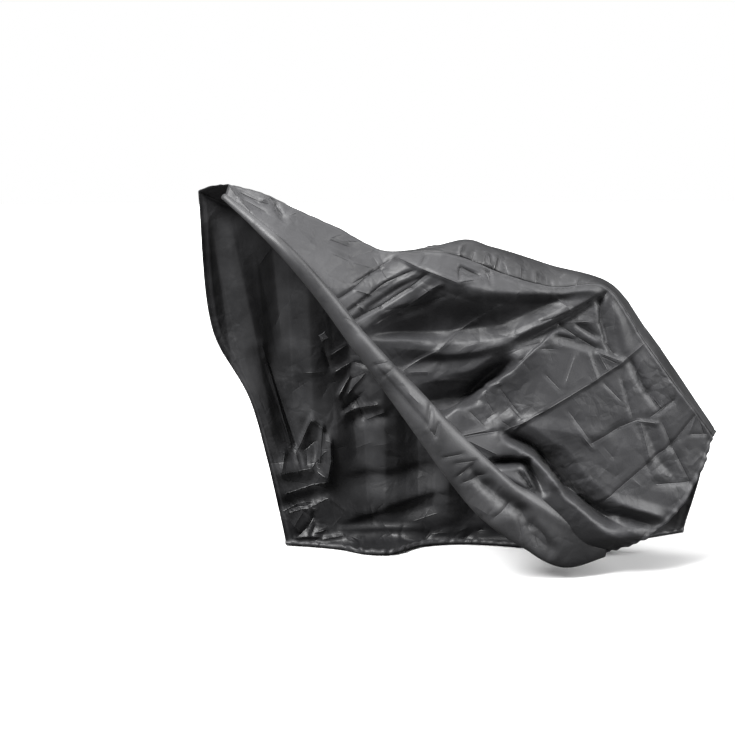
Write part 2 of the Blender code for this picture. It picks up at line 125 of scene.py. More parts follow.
# %% [markdown]
# ## The lines that the pieces hang from
#
# The two seams and the crown line between them carry the gusset. Straight ribs run from the near seam down
# to the roll, with their depth given in the middle and at both quarters. The far side falls from its seam
# through two places to a fold at the floor, and on to its hem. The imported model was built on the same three
# tables, so the cloth lies where the model does.
# %% The tables of sizes
SEAMS = table(
    "station  near_x  near_y  near_z   crown_x crown_y crown_z   far_x   far_y   far_z",
    (0 / 12, -0.365, 0.080, 1.180, -0.412, 0.140, 1.176, -0.455, 0.200, 1.160),
    (1 / 12, -0.269, 0.050, 1.156, -0.300, 0.145, 1.140, -0.330, 0.232, 1.105),
    (2 / 12, -0.159, 0.030, 1.103, -0.175, 0.130, 1.090, -0.195, 0.222, 1.045),
    (3 / 12, -0.041, 0.020, 1.050, -0.050, 0.110, 1.036, -0.060, 0.195, 0.985),
    (4 / 12, 0.090, 0.000, 0.985, 0.087, 0.080, 0.976, 0.085, 0.165, 0.935),
    (5 / 12, 0.241, -0.080, 0.986, 0.243, 0.020, 0.998, 0.238, 0.140, 0.945),
    (5.5 / 12, 0.315, -0.097, 0.968, 0.336, 0.005, 1.018, 0.320, 0.135, 0.955),
    (6 / 12, 0.403, -0.114, 0.931, 0.410, 0.000, 0.996, 0.400, 0.130, 0.935),
    (7 / 12, 0.569, -0.128, 0.885, 0.580, 0.000, 0.943, 0.572, 0.125, 0.890),
    (8 / 12, 0.729, -0.120, 0.882, 0.772, 0.000, 0.885, 0.745, 0.120, 0.855),
    (9 / 12, 0.850, -0.120, 0.720, 0.888, 0.000, 0.750, 0.866, 0.120, 0.712),
    (10 / 12, 0.941, -0.120, 0.598, 0.978, 0.000, 0.630, 0.960, 0.120, 0.590),
    (11 / 12, 1.013, -0.110, 0.510, 1.062, 0.000, 0.512, 1.045, 0.110, 0.490),
    (12 / 12, 1.098, -0.060, 0.412, 1.130, 0.000, 0.420, 1.125, 0.065, 0.385),
)
RIBS = table(
    "station  roll_x  roll_y  roll_z  bow    quarter_y  half_y  upper_y  roll_wide  roll_thick",
    (0 / 12, -0.379, 0.060, 1.143, 0.000, 0.062, 0.068, 0.075, 0.010, 0.008),
    (1 / 12, -0.302, -0.020, 1.073, 0.000, -0.010, 0.010, 0.032, 0.015, 0.012),
    (2 / 12, -0.233, -0.090, 0.998, 0.000, -0.075, -0.045, -0.008, 0.020, 0.020),
    (3 / 12, -0.159, -0.118, 0.913, 0.000, -0.098, -0.064, -0.022, 0.022, 0.024),
    (4 / 12, -0.089, -0.130, 0.828, 0.000, -0.112, -0.084, -0.045, 0.025, 0.027),
    (5 / 12, -0.014, -0.134, 0.741, 0.000, -0.106, -0.098, -0.116, 0.029, 0.030),
    (6 / 12, 0.060, -0.136, 0.655, 0.000, -0.086, -0.092, -0.150, 0.035, 0.033),
    (7 / 12, 0.136, -0.136, 0.566, 0.005, -0.080, -0.106, -0.126, 0.044, 0.035),
    (8 / 12, 0.222, -0.140, 0.459, 0.010, -0.092, -0.140, -0.130, 0.053, 0.034),
    (9 / 12, 0.309, -0.148, 0.356, 0.014, -0.158, -0.170, -0.148, 0.064, 0.030),
    (10 / 12, 0.400, -0.150, 0.261, 0.020, -0.176, -0.172, -0.148, 0.072, 0.026),
    (11 / 12, 0.524, -0.140, 0.177, 0.036, -0.186, -0.166, -0.140, 0.078, 0.022),
    (11.5 / 12, 0.627, -0.126, 0.104, 0.058, -0.182, -0.156, -0.124, 0.066, 0.017),
    (12 / 12, 0.748, -0.110, 0.075, 0.058, -0.160, -0.140, -0.102, 0.014, 0.008),
)
FALLS = table(
    "station  upper_x upper_y upper_z  lower_x lower_y lower_z  fold_x fold_y fold_z  hem_x  hem_y  hem_z",
    (0.00, -0.420, 0.275, 0.740, -0.292, 0.305, 0.470, -0.190, 0.372, 0.030, -0.188, 0.360, 0.004),
    (0.08, -0.330, 0.270, 0.780, -0.230, 0.320, 0.420, -0.120, 0.370, 0.014, -0.108, 0.330, 0.003),
    (0.17, -0.220, 0.285, 0.740, -0.140, 0.330, 0.400, -0.040, 0.360, 0.012, -0.020, 0.285, 0.003),
    (0.27, -0.080, 0.265, 0.700, -0.030, 0.310, 0.380, 0.050, 0.350, 0.012, 0.062, 0.215, 0.003),
    (0.36, 0.070, 0.250, 0.660, 0.085, 0.320, 0.360, 0.140, 0.345, 0.012, 0.150, 0.205, 0.003),
    (0.45, 0.230, 0.215, 0.650, 0.225, 0.290, 0.350, 0.240, 0.345, 0.012, 0.250, 0.285, 0.003),
    (0.54, 0.390, 0.200, 0.640, 0.375, 0.265, 0.340, 0.370, 0.340, 0.012, 0.375, 0.300, 0.003),
    (0.63, 0.550, 0.185, 0.610, 0.525, 0.240, 0.320, 0.510, 0.315, 0.012, 0.505, 0.265, 0.003),
    (0.72, 0.710, 0.170, 0.590, 0.675, 0.210, 0.300, 0.650, 0.265, 0.014, 0.635, 0.200, 0.004),
    (0.81, 0.840, 0.160, 0.510, 0.800, 0.190, 0.260, 0.775, 0.205, 0.030, 0.752, 0.120, 0.012),
    (0.90, 0.950, 0.150, 0.430, 0.915, 0.170, 0.230, 0.890, 0.165, 0.065, 0.870, 0.095, 0.045),
    (1.00, 1.118, 0.085, 0.270, 1.104, 0.105, 0.180, 1.083, 0.122, 0.085, 1.078, 0.116, 0.067),
)
print(len(SEAMS["station"]), "seam rows,", len(RIBS["station"]), "rib rows,", len(FALLS["station"]), "falls")

# %% [markdown]
# ## The section of a fold
#
# A fold could be sculpted or painted as a height map. Here it is drawn on the side view as a line that may
# bow, which keeps it editable. Its section is a bell, and the two sides of the bell have widths of their
# own: a narrow side makes a steep flank, which goes dark, and a wide one a gentle flank, which catches the
# light. A crease that stays from packing has a sharp section instead. A lip is a crest that leans over the
# trough above it, so the cloth is pulled across its line instead of out.
# %% How a fold lifts the cloth
FOLD_COLUMNS = "from_x  from_z  to_x  to_z  bow  height  left  right"
STRAIGHT_COLUMNS = "from_x  from_z  to_x  to_z  height  left  right"
CRISP = 0.6             # share of a section that is tent
END_DROP = 0.45         # share by which a soft fold is lower at its ends than at its middle
BELL_TENT = 1.77        # a tent's foot, in widths of the bell with the same area
SHARP_TENT = 2.0        # and of the exponential with the same area


def bowed(*rows):
    """A table of folds, from rows in millimetres."""
    return {name: values / 1000 for name, values in table(FOLD_COLUMNS, *rows).items()}


def straight(*rows):
    """A table of folds without a bow, from rows in millimetres."""
    given = table(STRAIGHT_COLUMNS, *rows)
    return {name: given.get(name, np.zeros(len(rows))) / 1000 for name in FOLD_COLUMNS.split()}


def each_fold(folds, x, z, sharp=False):
    """
    For each fold in turn: the way its line runs, and its height at each place. Along the line t runs from 0
    to 1, and the distance from it is taken less its bow 4t(1 - t), as a share of the width on that side.
    The section is part bell, exp(-distance^2), or for a sharp crease exp(-distance), and part tent, 1 -
    distance / foot, whose flat flanks and sharp edges are those of crisp cloth. Both die out past the two
    ends.
    """
    foot = SHARP_TENT if sharp else BELL_TENT
    for from_x, from_z, to_x, to_z, bow, height, left, right in zip(*folds.values()):
        length = math.hypot(to_x - from_x, to_z - from_z)
        run_x, run_z = (to_x - from_x) / length, (to_z - from_z) / length
        t = ((x - from_x) * run_x + (z - from_z) * run_z) / length
        inside = np.clip(t, 0, 1)
        off = (z - from_z) * run_x - (x - from_x) * run_z - bow * 4 * inside * (1 - inside)
        past = np.abs(t - inside) * length / (left + right)
        distance = np.hypot(off / np.where(off > 0, left, right), 2 * past)
        round_part = np.exp(-distance) if sharp else np.exp(-distance ** 2)
        flat_part = np.clip(1 - distance / foot, 0, 1)
        section = round_part + CRISP * (flat_part - round_part)
        drop = 0.0 if sharp else END_DROP
        yield run_x, run_z, height * section * (1 - drop * (2 * inside - 1) ** 2)


def fold_height(folds, x, z, sharp=False):
    """The folds' heights, added up at each place."""
    return sum((height for _, _, height in each_fold(folds, x, z, sharp)), np.zeros_like(x))


def lip_shift(lips, x, z):
    """
    How far lips pull the cloth within its own plane: towards the left of each line, by the lip's height.
    """
    shift = np.zeros((*x.shape, 3))
    for run_x, run_z, reach in each_fold(lips, x, z):
        shift += reach[..., None] * np.array((-run_z, 0.0, run_x))
    return shift


print(f"a fold's section is {CRISP:.0%} tent, and its ends are {END_DROP:.0%} lower than its middle")

# %% [markdown]
# ## Small creases by chance
#
# Cloth that has been packed and pushed about is full of short creases that nobody would miss one by one.
# They could come from a noise texture, which looks cloudy, so they are drawn as lines like the others, at
# places from a random generator with a fixed seed, which gives the same ones each time.
# %% Strewn creases
STREWN_WIDTHS = (0.004, 0.012)
STREWN_TURN = 12        # degrees
STREWN_LEAST = 0.4      # share of the full length and height that the smallest one has


def strewn(seed, count, x_range, z_range, length, height, leans):
    """
    A table of small creases at chance places in one zone. Each leans one of the given ways, in degrees from
    level, give or take STREWN_TURN, and has a chance share of the full length and of the full height.
    """
    chance = np.random.default_rng(seed)
    x, z = chance.uniform(*x_range, count), chance.uniform(*z_range, count)
    way = np.radians(chance.choice(leans, count) + chance.normal(0, STREWN_TURN, count))
    run = length * chance.uniform(STREWN_LEAST, 1.0, count)
    lift = height * chance.uniform(STREWN_LEAST, 1.0, count) * chance.choice((-1, 1), count)
    widths = chance.uniform(*STREWN_WIDTHS, (2, count))
    columns = (x, z, x + run * np.cos(way), z + run * np.sin(way), np.zeros(count), lift, *widths)
    return dict(zip(FOLD_COLUMNS.split(), columns))


def joined(*tables):
    """Tables with the same columns, put together as one."""
    return {name: np.concatenate([rows[name] for rows in tables]) for name in tables[0]}


print("strewn creases are", *(round(1000 * width) for width in STREWN_WIDTHS), "mm wide on a side")

# %% [markdown]
# ## The sharp line of a crease
#
# Each crease ends in a line much finer than the grid of points. A finer grid would make the mesh too heavy,
# and one texture for each crease would make the shader too large. So the grid carries each place's distance
# from the nearest crease's line as a vertex attribute. Between the points Blender interpolates it, and
# where it crosses 0 the finish draws the line.
# %% Distances from the creases
LINE_LAYERS = 5
LINE_REACH = 0.014
LINE_END = 0.012


def crease_lines(creases, x, z):
    """
    In each of a few layers, the distance from a crease's line, with its sign, and the crease's height.
    Creases that cross lie in different layers, and the strongest choose first. A height holds up to half of
    LINE_REACH away from the line and is 0 from LINE_REACH on, and it rises from 0 over LINE_END at both
    ends.
    """
    layers = np.zeros((LINE_LAYERS, *x.shape, 3))
    layers[..., 0] = LINE_REACH
    length = np.hypot(creases["to_x"] - creases["from_x"], creases["to_z"] - creases["from_z"])
    for k in np.argsort(-length * np.abs(creases["height"])):
        start_x, start_z, run = creases["from_x"][k], creases["from_z"][k], length[k]
        run_x, run_z = (creases["to_x"][k] - start_x) / run, (creases["to_z"][k] - start_z) / run
        t = ((x - start_x) * run_x + (z - start_z) * run_z) / run
        off = (z - start_z) * run_x - (x - start_x) * run_z
        ends = np.clip((0.5 - np.abs(t - 0.5)) * run / LINE_END, 0, 1)
        tall = creases["height"][k] * ends * np.clip(2 - 2 * np.abs(off) / LINE_REACH, 0, 1)
        near = (np.abs(off) < 2 * LINE_REACH) & (ends > 0)
        layer = layers[np.argmin([np.sum(near & (one[..., 1] != 0)) for one in layers])]
        here = near & ((np.abs(off) < np.abs(layer[..., 0])) | (layer[..., 1] == 0))
        layer[here, 0] = np.clip(off, -LINE_REACH, LINE_REACH)[here]
        layer[here, 1] = tall[here]
    return layers


print(LINE_LAYERS, "layers of crease lines, each felt up to", round(1000 * LINE_REACH), "mm away")

# %% [markdown]
# ## The cloth's finish
#
# The cloth is a plain weave of black polyester yarn, satin on the outside, with a smoother coating inside.
# A picture of cloth could be laid on it, but a procedural finish stays sharp from nearby. Both faces share
# one recipe: crossed wave textures on the cloth's own UV map, which is in metres, make the yarns, Voronoi
# cells in bent space make the flat facets of crumpled cloth, and an attribute of painted light and shade
# makes ridges a little lighter as a painted highlight, lit places lighter and shaded places darker.
# %% Short ways to write shader nodes
def nodes_of(material):
    """The material's node tree, its shader, and a short way to add a node with its links and settings."""
    material.use_nodes = True
    tree = material.node_tree

    def add(kind, links=None, **settings):
        """A new node, its inputs linked as links says, its sockets and properties set to the settings."""
        node = tree.nodes.new(kind)
        for name, value in settings.items():
            if name in node.inputs.keys():
                node.inputs[name].default_value = value
            else:
                setattr(node, name, value)
        for name, source in (links or {}).items():
            tree.links.new(source, node.inputs[name])
        return node

    return tree, tree.nodes["Principled BSDF"], add


def ranged(add, value, from_min=0.0, from_max=1.0, to_min=0.0, to_max=1.0):
    """A value carried from one range to another, and held within it."""
    limits = {"From Min": from_min, "From Max": from_max, "To Min": to_min, "To Max": to_max}
    return add("ShaderNodeMapRange", {"Value": value}, **limits).outputs["Result"]


def combined(add, operation, *values):
    """Two or three values put together by one Math node."""
    return add("ShaderNodeMath", dict(enumerate(values)), operation=operation).outputs[0]


print("the frame alone has", len(bpy.data.materials), "materials")

# %% [markdown]
# ## Relief in the finish
#
# The finest relief is bump, not mesh: the line of a crease, the facets and the yarns are all thinner than a
# grid step. Each of them takes the normal that the last one left and bends it further, so they lie on one
# another as they do in real cloth.
# %% Crease lines, facets and yarns
LINE_TENTS = ((0.0024, 0.34), (0.012, 0.26))    # half width, and height as a share of the crease's own
FACETS = ((0.080, 0.10), (0.032, 0.07))         # their size in metres, and their slope
FACET_BEND = 0.06
YARN_PITCH = 0.0009
YARN_RELIEF = 0.0001
YARN_SCALE = 2 * math.pi / (20 * YARN_PITCH)    # a wave texture has 20 / (2 pi) bands to a unit at scale 1


def crease_relief(add, facing):
    """
    The relief along the creases, in metres, from the layers that crease_lines made. In each it is the
    crease's height times two tents over the distance, a narrow and a wide one. Facing is 1, or -1 on the
    cloth's inside.
    """
    total = None
    for k in range(LINE_LAYERS):
        layer = add("ShaderNodeAttribute", attribute_name=f"crease_{k}").outputs["Vector"]
        parts = add("ShaderNodeSeparateXYZ", {"Vector": layer}).outputs
        away = combined(add, "ABSOLUTE", parts["X"])
        tents = [ranged(add, away, from_max=wide, to_min=tall * facing, to_max=0.0)
                 for wide, tall in LINE_TENTS]
        rise = combined(add, "MULTIPLY", combined(add, "ADD", *tents), parts["Y"])
        total = combined(add, "ADD", rise, total) if total else rise
    return add("ShaderNodeBump", {"Height": total}, Strength=1.0, Distance=1.0).outputs["Normal"]


def facet_relief(add, place, normal, strength):
    """
    Facets of two sizes: the distance to the edge of Voronoi cells in bent space, stronger in some places.
    """
    drift = add("ShaderNodeTexNoise", {"Vector": place}, Scale=9.0, Detail=2.0).outputs["Color"]
    bent = add("ShaderNodeVectorMath", {0: drift, 2: place}, operation="MULTIPLY_ADD")
    bent.inputs[1].default_value = (FACET_BEND, FACET_BEND, FACET_BEND)
    crumpled = add("ShaderNodeTexNoise", {"Vector": place}, Scale=6.0, Detail=1.0).outputs["Fac"]
    amount = ranged(add, crumpled, from_min=0.42, from_max=0.64, to_min=0.12)
    for size, slope in FACETS:
        cells = add("ShaderNodeTexVoronoi", {"Vector": bent.outputs[0]},
                    feature="DISTANCE_TO_EDGE", Scale=1 / size)
        height = combined(add, "MULTIPLY", cells.outputs["Distance"], amount)
        normal = add("ShaderNodeBump", {"Height": height, "Normal": normal},
                     Strength=1.0, Distance=slope * size * strength).outputs["Normal"]
    return normal


def yarn_relief(add, normal):
    """The plain weave: the product of two waves, one across the cloth and one along it."""
    cloth_map = {"Vector": add("ShaderNodeUVMap", uv_map="cloth").outputs["UV"]}
    waves = [add("ShaderNodeTexWave", cloth_map, Scale=YARN_SCALE, bands_direction=way).outputs["Fac"]
             for way in "XY"]
    return add("ShaderNodeBump", {"Height": combined(add, "MULTIPLY", *waves), "Normal": normal},
               Strength=0.5, Distance=YARN_RELIEF).outputs["Normal"]


print("a yarn each", 1000 * YARN_PITCH, "mm, facets of", *(round(1000 * size) for size, _ in FACETS), "mm")

# %% [markdown]
# ## The finishes
#
# Outside, inside and thread differ only in their two shades, their gloss and how crumpled they are. The
# shade runs from dark to light with the painted_lighting attribute, which holds painted light and shade,
# and with a faint cloud, as no dyed cloth is quite even.
# %% Woven polyester and its coated inside
GLOSS_SPREAD = 0.06


def cloth_finish(name, dark, light, rough, sheen, crumple, facing=1):
    """Woven polyester. Its shade, cloud x (1 + painted_lighting), goes from the dark colour to the light one.
    """
    material = bpy.data.materials.new(name)
    tree, shader, add = nodes_of(material)
    place = add("ShaderNodeTexCoord").outputs["Object"]
    # painted_lighting: painted highlights on ridges, painted light on lit places, painted shade on shaded
    # ones
    painted_lighting = add("ShaderNodeAttribute", attribute_name="painted_lighting").outputs["Fac"]
    cloud = add("ShaderNodeTexNoise", {"Vector": place}, Scale=7.0, Detail=4.0).outputs["Fac"]
    shade = ranged(add, combined(add, "MULTIPLY_ADD", painted_lighting, cloud, cloud), from_min=0.35, from_max=1.25)
    mix = add("ShaderNodeMix", {"Factor": shade}, data_type="RGBA")
    mix.inputs[6].default_value = (*dark, 1.0)
    mix.inputs[7].default_value = (*light, 1.0)
    fine = add("ShaderNodeTexNoise", {"Vector": place}, Scale=160.0, Detail=2.0).outputs["Fac"]
    gloss = ranged(add, fine, to_min=rough - GLOSS_SPREAD, to_max=rough + GLOSS_SPREAD)
    normal = yarn_relief(add, facet_relief(add, place, crease_relief(add, facing), crumple))
    for socket, source in (("Base Color", mix.outputs[2]), ("Roughness", gloss), ("Normal", normal)):
        tree.links.new(source, shader.inputs[socket])
    shader.inputs["Specular IOR Level"].default_value = 0.5
    shader.inputs["Sheen Weight"].default_value = sheen
    shader.inputs["Sheen Roughness"].default_value = 0.4
    return material


OUTSIDE = cloth_finish("woven polyester", dark=(0.028, 0.028, 0.030), light=(0.050, 0.050, 0.053),
                       rough=0.50, sheen=0.05, crumple=1.0)
# painted shade: the inside's dark end is far darker than the outside's, and painted light lifts it where lit
INSIDE = cloth_finish("coated inside", dark=(0.010, 0.010, 0.011), light=(0.070, 0.070, 0.073),
                      rough=0.46, sheen=0.02, crumple=0.7, facing=-1)
THREAD_FINISH = cloth_finish("polyester thread", dark=(0.018, 0.018, 0.019), light=(0.040, 0.040, 0.042),
                             rough=0.40, sheen=0.10, crumple=0.0)
for material in (OUTSIDE, INSIDE, THREAD_FINISH):
    print(f"{material.name}: {len(material.node_tree.nodes)} nodes")

# %% [markdown]
# ## A sheet of cloth from a grid
#
# Each cut piece ends up as a grid of points, one line of them for each station. The grid becomes one mesh.
# Its UV map is the cloth laid flat, in metres, so that the yarns keep their size. Walls could be given to
# the sheet point by point, but the Solidify modifier does that in one step, closes the edges, and gives the
# inner face its own finish.
# %% Lengths and directions on a grid
def unit(vectors):
    """Each vector divided by its own length."""
    return vectors / np.maximum(np.linalg.norm(vectors, axis=-1, keepdims=True), 1e-9)


def run_along(path):
    """Length of a path up to each of its points: the sum of the steps before it."""
    return np.append(0, np.cumsum(np.linalg.norm(np.diff(path, axis=0), axis=1)))


def length_down(points):
    """Length of cloth down each station, from the grid's first line: the sum of the steps so far."""
    steps = np.linalg.norm(np.diff(points, axis=1), axis=-1)
    return np.concatenate([np.zeros((len(points), 1)), np.cumsum(steps, axis=1)], axis=1)


def outward(points, side):
    """
    Unit vectors square to a grid of points: the cross product of its two slopes, pointing to side, -1 or 1
    on Y.
    """
    across = np.cross(np.gradient(points, axis=0), np.gradient(points, axis=1))
    return unit(across) * math.copysign(1.0, np.median(across[..., 1]) * side)


def lifted(points, side, height):
    """The cloth moved square to itself, outwards by the height at each place."""
    return points + outward(points, side) * height[..., None]


def edge_fade(share, start, end):
    """
    0 at share 0 and 1, rising as sin^2 to 1 within the given lengths, so that folds die out towards an
    edge.
    """
    rise = np.clip(share / start, 0, 1) if start else np.ones_like(share)
    fall = np.clip((1 - share) / end, 0, 1) if end else np.ones_like(share)
    return np.sin(rise * math.pi / 2) ** 2 * np.sin(fall * math.pi / 2) ** 2


print("half way into a fade of 0.1 a fold has", edge_fade(np.array(0.05), 0.1, 0.1).round(2), "of its height")

# %% [markdown]
# ## From the grid to an object
#
# The mesh is filled with whole arrays, which is much faster than a loop over its points. Where cloth
# bulges, the mean of a point's neighbours lies behind the point, and this gives a painted highlight that is
# high on ridges. The object itself stays at the origin, with its place in its mesh.
# %% A grid becomes cloth
CLOTH = 0.0012          # the sheet's thickness
HIGHLIGHT_RADIUS = 0.020      # a ridge that bends more tightly than this gets the full painted highlight


def flat_map(points):
    """
    The cloth laid flat: u is the mean length along the grid's first direction, v the length down each
    station.
    """
    along = np.linalg.norm(np.diff(points, axis=0), axis=-1).mean(axis=1)
    u = np.repeat(np.append(0, np.cumsum(along))[:, None], points.shape[1], axis=1)
    return np.stack([u, length_down(points)], axis=-1)


def painted_ridge_highlight(points, face):
    """A painted highlight: 0 on flat cloth and in troughs, towards 1 on a ridge: its bend both ways, times
    HIGHLIGHT_RADIUS.
    """
    painted_lighting = np.zeros(points.shape[:2])
    middle = points[1:-1, 1:-1]
    for one, other in ((points[:-2, 1:-1], points[2:, 1:-1]), (points[1:-1, :-2], points[1:-1, 2:])):
        step = np.sum((other - one) ** 2, axis=-1) / 4 + 1e-8
        painted_lighting[1:-1, 1:-1] += 2 * np.sum((middle - (one + other) / 2) * face[1:-1, 1:-1], axis=-1) / step
    return np.clip(painted_lighting * HIGHLIGHT_RADIUS, 0, 1)


def quads_of(points, side):
    """The grid's faces, with their corners in the order that makes them face side on Y."""
    index = np.arange(points.shape[0] * points.shape[1]).reshape(points.shape[:2])
    quads = np.stack([index[:-1, :-1], index[1:, :-1], index[1:, 1:], index[:-1, 1:]], axis=-1).reshape(-1, 4)
    across = np.cross(np.gradient(points, axis=0), np.gradient(points, axis=1))
    return quads[:, ::-1] if np.median(across[..., 1]) * side < 0 else quads


def ridden(name, points, faces, finishes):
    """An object from points in the tables' measure, riding on the body."""
    mesh = bpy.data.meshes.new(name)
    mesh.from_pydata((points - FRONT_OF_MIDDLE).reshape(-1, 3).tolist(), [], faces.tolist())
    mesh.shade_smooth()
    for finish in finishes:
        mesh.materials.append(finish)
    item = bpy.data.objects.new(name, mesh)
    bpy.context.scene.collection.objects.link(item)
    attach(item, "root")
    return item


def cloth_object(name, points, side, creases, painted_lighting, finishes=(OUTSIDE, INSIDE)):
    """A closed sheet of cloth on a grid of points, its outside towards side on Y."""
    quads = quads_of(points, side)
    item = ridden(name, points, quads, finishes)
    mesh = item.data
    corner_places = flat_map(points).reshape(-1, 2)[quads.ravel()]
    mesh.uv_layers.new(name="cloth").data.foreach_set("uv", corner_places.ravel())
    mesh.attributes.new("painted_lighting", "FLOAT", "POINT").data.foreach_set("value", painted_lighting.ravel())
    for k, layer in enumerate(creases):
        mesh.attributes.new(f"crease_{k}", "FLOAT_VECTOR", "POINT").data.foreach_set("vector", layer.ravel())
    solidify = item.modifiers.new("thickness", "SOLIDIFY")
    solidify.thickness = CLOTH
    solidify.offset = 0.0
    solidify.material_offset = 1
    print(f"{name}: {points.shape[0]} x {points.shape[1]} grid, {4 * len(quads)} triangles")
    return item


print("cloth", 1000 * CLOTH, "mm thick, with a full painted highlight where it bends within", round(1000 * HIGHLIGHT_RADIUS), "mm")

# %% [markdown]
# ## Sewn edges
#
# Sewing draws cloth in, so a seam lies in a small groove beside a welt, where the edge is turned in below,
# and the cloth puckers along it. Two pieces that meet take the same rise, so the seam stays closed. A hem
# has a casing, the sunk line of its stitching, and gathers that die out in the cloth past it. All of this
# could be bump in the finish, but it shows along the cover's outline, so it is in the mesh.
# %% Seams and hems
PUCKER_PITCH = 0.017
PUCKER_REACH = 0.020
PUCKER_LIFT = 0.0016
PUCKER_SEEDS = {"near": 4, "far": 3}
STRONG_PUCKERS = (0.56, 0.07)       # the station where the seam is drawn in most, and over how far
SEAM_GROOVE = 0.0012
GROOVE_WIDE = 0.003
WELT_SHARE = 0.7        # the welt's height, as a share of the groove's depth
WELT_AWAY = 0.007
WELT_WIDE = 0.004
HEM_WIDE = 0.018
CASING_RISE = 0.0020
CASING_ROUND = 0.38     # the width of the casing's bell, in hem widths
ROW_SINK = 0.6          # how deep the row of stitching sinks, as a share of the casing's rise
ROW_WIDE = 0.004
GATHER_PITCH = 0.013
GATHER_REACH = 1.2      # how far the gathers run into the cloth, in hem widths


def uneven(at, pitch, seed):
    """A smooth curve through chance heights from -1 to 1, with one for each pitch of the way."""
    knots = np.arange(0, at.max() + 2 * pitch, pitch)
    return smooth(at, knots, np.random.default_rng(seed).uniform(-1, 1, len(knots)))


def bell(away, middle, wide):
    """A bell around the middle: exp(-((away - middle) / wide)^2)."""
    return np.exp(-((away - middle) / wide) ** 2)


def seam_rise(station, side, away):
    """
    How the cloth rises near a seam: puckers that fade with the distance away from it, and the groove and
    welt. It rises along the line that halves the angle between the gusset and the side.
    """
    seam = line(SEAMS, station, f"{side}_x {side}_y {side}_z")
    across = unit(seam - line(SEAMS, station, "crown_x crown_y crown_z"))
    up = unit(np.cross(np.gradient(seam, axis=0), across)) * (1 if side == "far" else -1)
    pucker = PUCKER_LIFT * (1 + bell(station, *STRONG_PUCKERS))
    pucker *= uneven(run_along(seam), PUCKER_PITCH, PUCKER_SEEDS[side])
    groove = SEAM_GROOVE * (WELT_SHARE * bell(away, WELT_AWAY, WELT_WIDE) - bell(away, 0, GROOVE_WIDE))
    lift = pucker[:, None] * np.exp(-away / PUCKER_REACH) + groove
    return unit(across + up)[:, None] * lift[..., None]


def hem_rise(points, at_end, gathered, wide=HEM_WIDE, seed=1):
    """
    How the cloth rises near the hem at one end of the stations: the casing, its stitching and its gathers.
    """
    ordered = points[::-1] if at_end else points
    away = length_down(ordered.swapaxes(0, 1)).T
    gathers = uneven(run_along(ordered[0]), GATHER_PITCH, seed)
    casing = CASING_RISE * (bell(away, wide / 2, wide * CASING_ROUND) - ROW_SINK * bell(away, wide, ROW_WIDE))
    rise = casing + gathered * gathers * np.exp(-away / (wide * GATHER_REACH))
    return rise[::-1] if at_end else rise


print("a pucker each", round(1000 * PUCKER_PITCH), "mm, a gather each", round(1000 * GATHER_PITCH), "mm")

# %% [markdown]
# ## Stitching
#
# The seams are sewn with black thread. Each stitch that shows is a short bead that sinks into the cloth at
# both ends. A stitch could be one object copied along the seam, but a seam has hundreds, so a whole row is
# worked out at once and is a single mesh, with 28 triangles to a stitch.
# %% Stitches
THREAD = 0.0004             # the thread's radius
THREAD_SHOWS = 0.4          # how far its middle lies above the cloth, as a share of its radius
STITCH = 0.0032
STITCH_PITCH = 0.0044
LOOK_AHEAD = 0.002          # the distance over which a stitch finds its direction
STITCH_RINGS = np.array(((-0.5, 0.2), (-0.28, 1.0), (0.28, 1.0), (0.5, 0.2)))   # shares of length and radius
STITCH_CORNERS = np.radians((45, 135, 225, 315))


def bead_faces(count):
    """The faces of a number of beads: a square tube through the rings, closed by a square at each end."""
    rings, corners = len(STITCH_RINGS), len(STITCH_CORNERS)
    index = np.arange(rings * corners).reshape(rings, corners)
    onward = np.roll(index, -1, axis=1)
    tube = np.stack([index[:-1], onward[:-1], onward[1:], index[1:]], axis=-1).reshape(-1, 4)
    bead = np.concatenate([tube, index[:1, ::-1], index[-1:]])
    return (bead[None] + index.size * np.arange(count)[:, None, None]).reshape(-1, 4)


def stitches(name, paths, finish):
    """
    Rows of stitches: small beads of thread, each lying along its path of places with its face turned out.
    """
    beads = []
    for path, face in paths:
        run = run_along(path)
        at = np.arange(STITCH_PITCH, run[-1] - STITCH_PITCH, STITCH_PITCH)
        place, ahead, out = (np.stack([np.interp(where, run, part[:, k]) for k in range(3)], axis=-1)
                             for where, part in ((at, path), (at + LOOK_AHEAD, path), (at, face)))
        ahead = unit(ahead - place)
        out = unit(out - ahead * np.sum(out * ahead, axis=-1, keepdims=True))
        side = np.cross(out, ahead)
        around = side[:, None] * np.cos(STITCH_CORNERS)[:, None]
        around += out[:, None] * np.sin(STITCH_CORNERS)[:, None]
        middle = place[:, None] + ahead[:, None] * (STITCH_RINGS[:, :1] * STITCH)
        beads.append(middle[:, :, None] + around[:, None] * (STITCH_RINGS[:, 1] * THREAD)[:, None, None])
    beads = np.concatenate(beads)
    print(f"{name}: {len(beads)} stitches")
    return ridden(name, beads, bead_faces(len(beads)), [finish])


def laid_on(points, face, lift=CLOTH / 2 + THREAD * THREAD_SHOWS):
    """
    A line of a grid of cloth as a stitching path: its places on the outer face, and the face's directions.
    """
    return points + face * lift, face


print("a stitch each", round(1000 * STITCH_PITCH, 1), "mm, of thread", round(2000 * THREAD, 1), "mm thick")

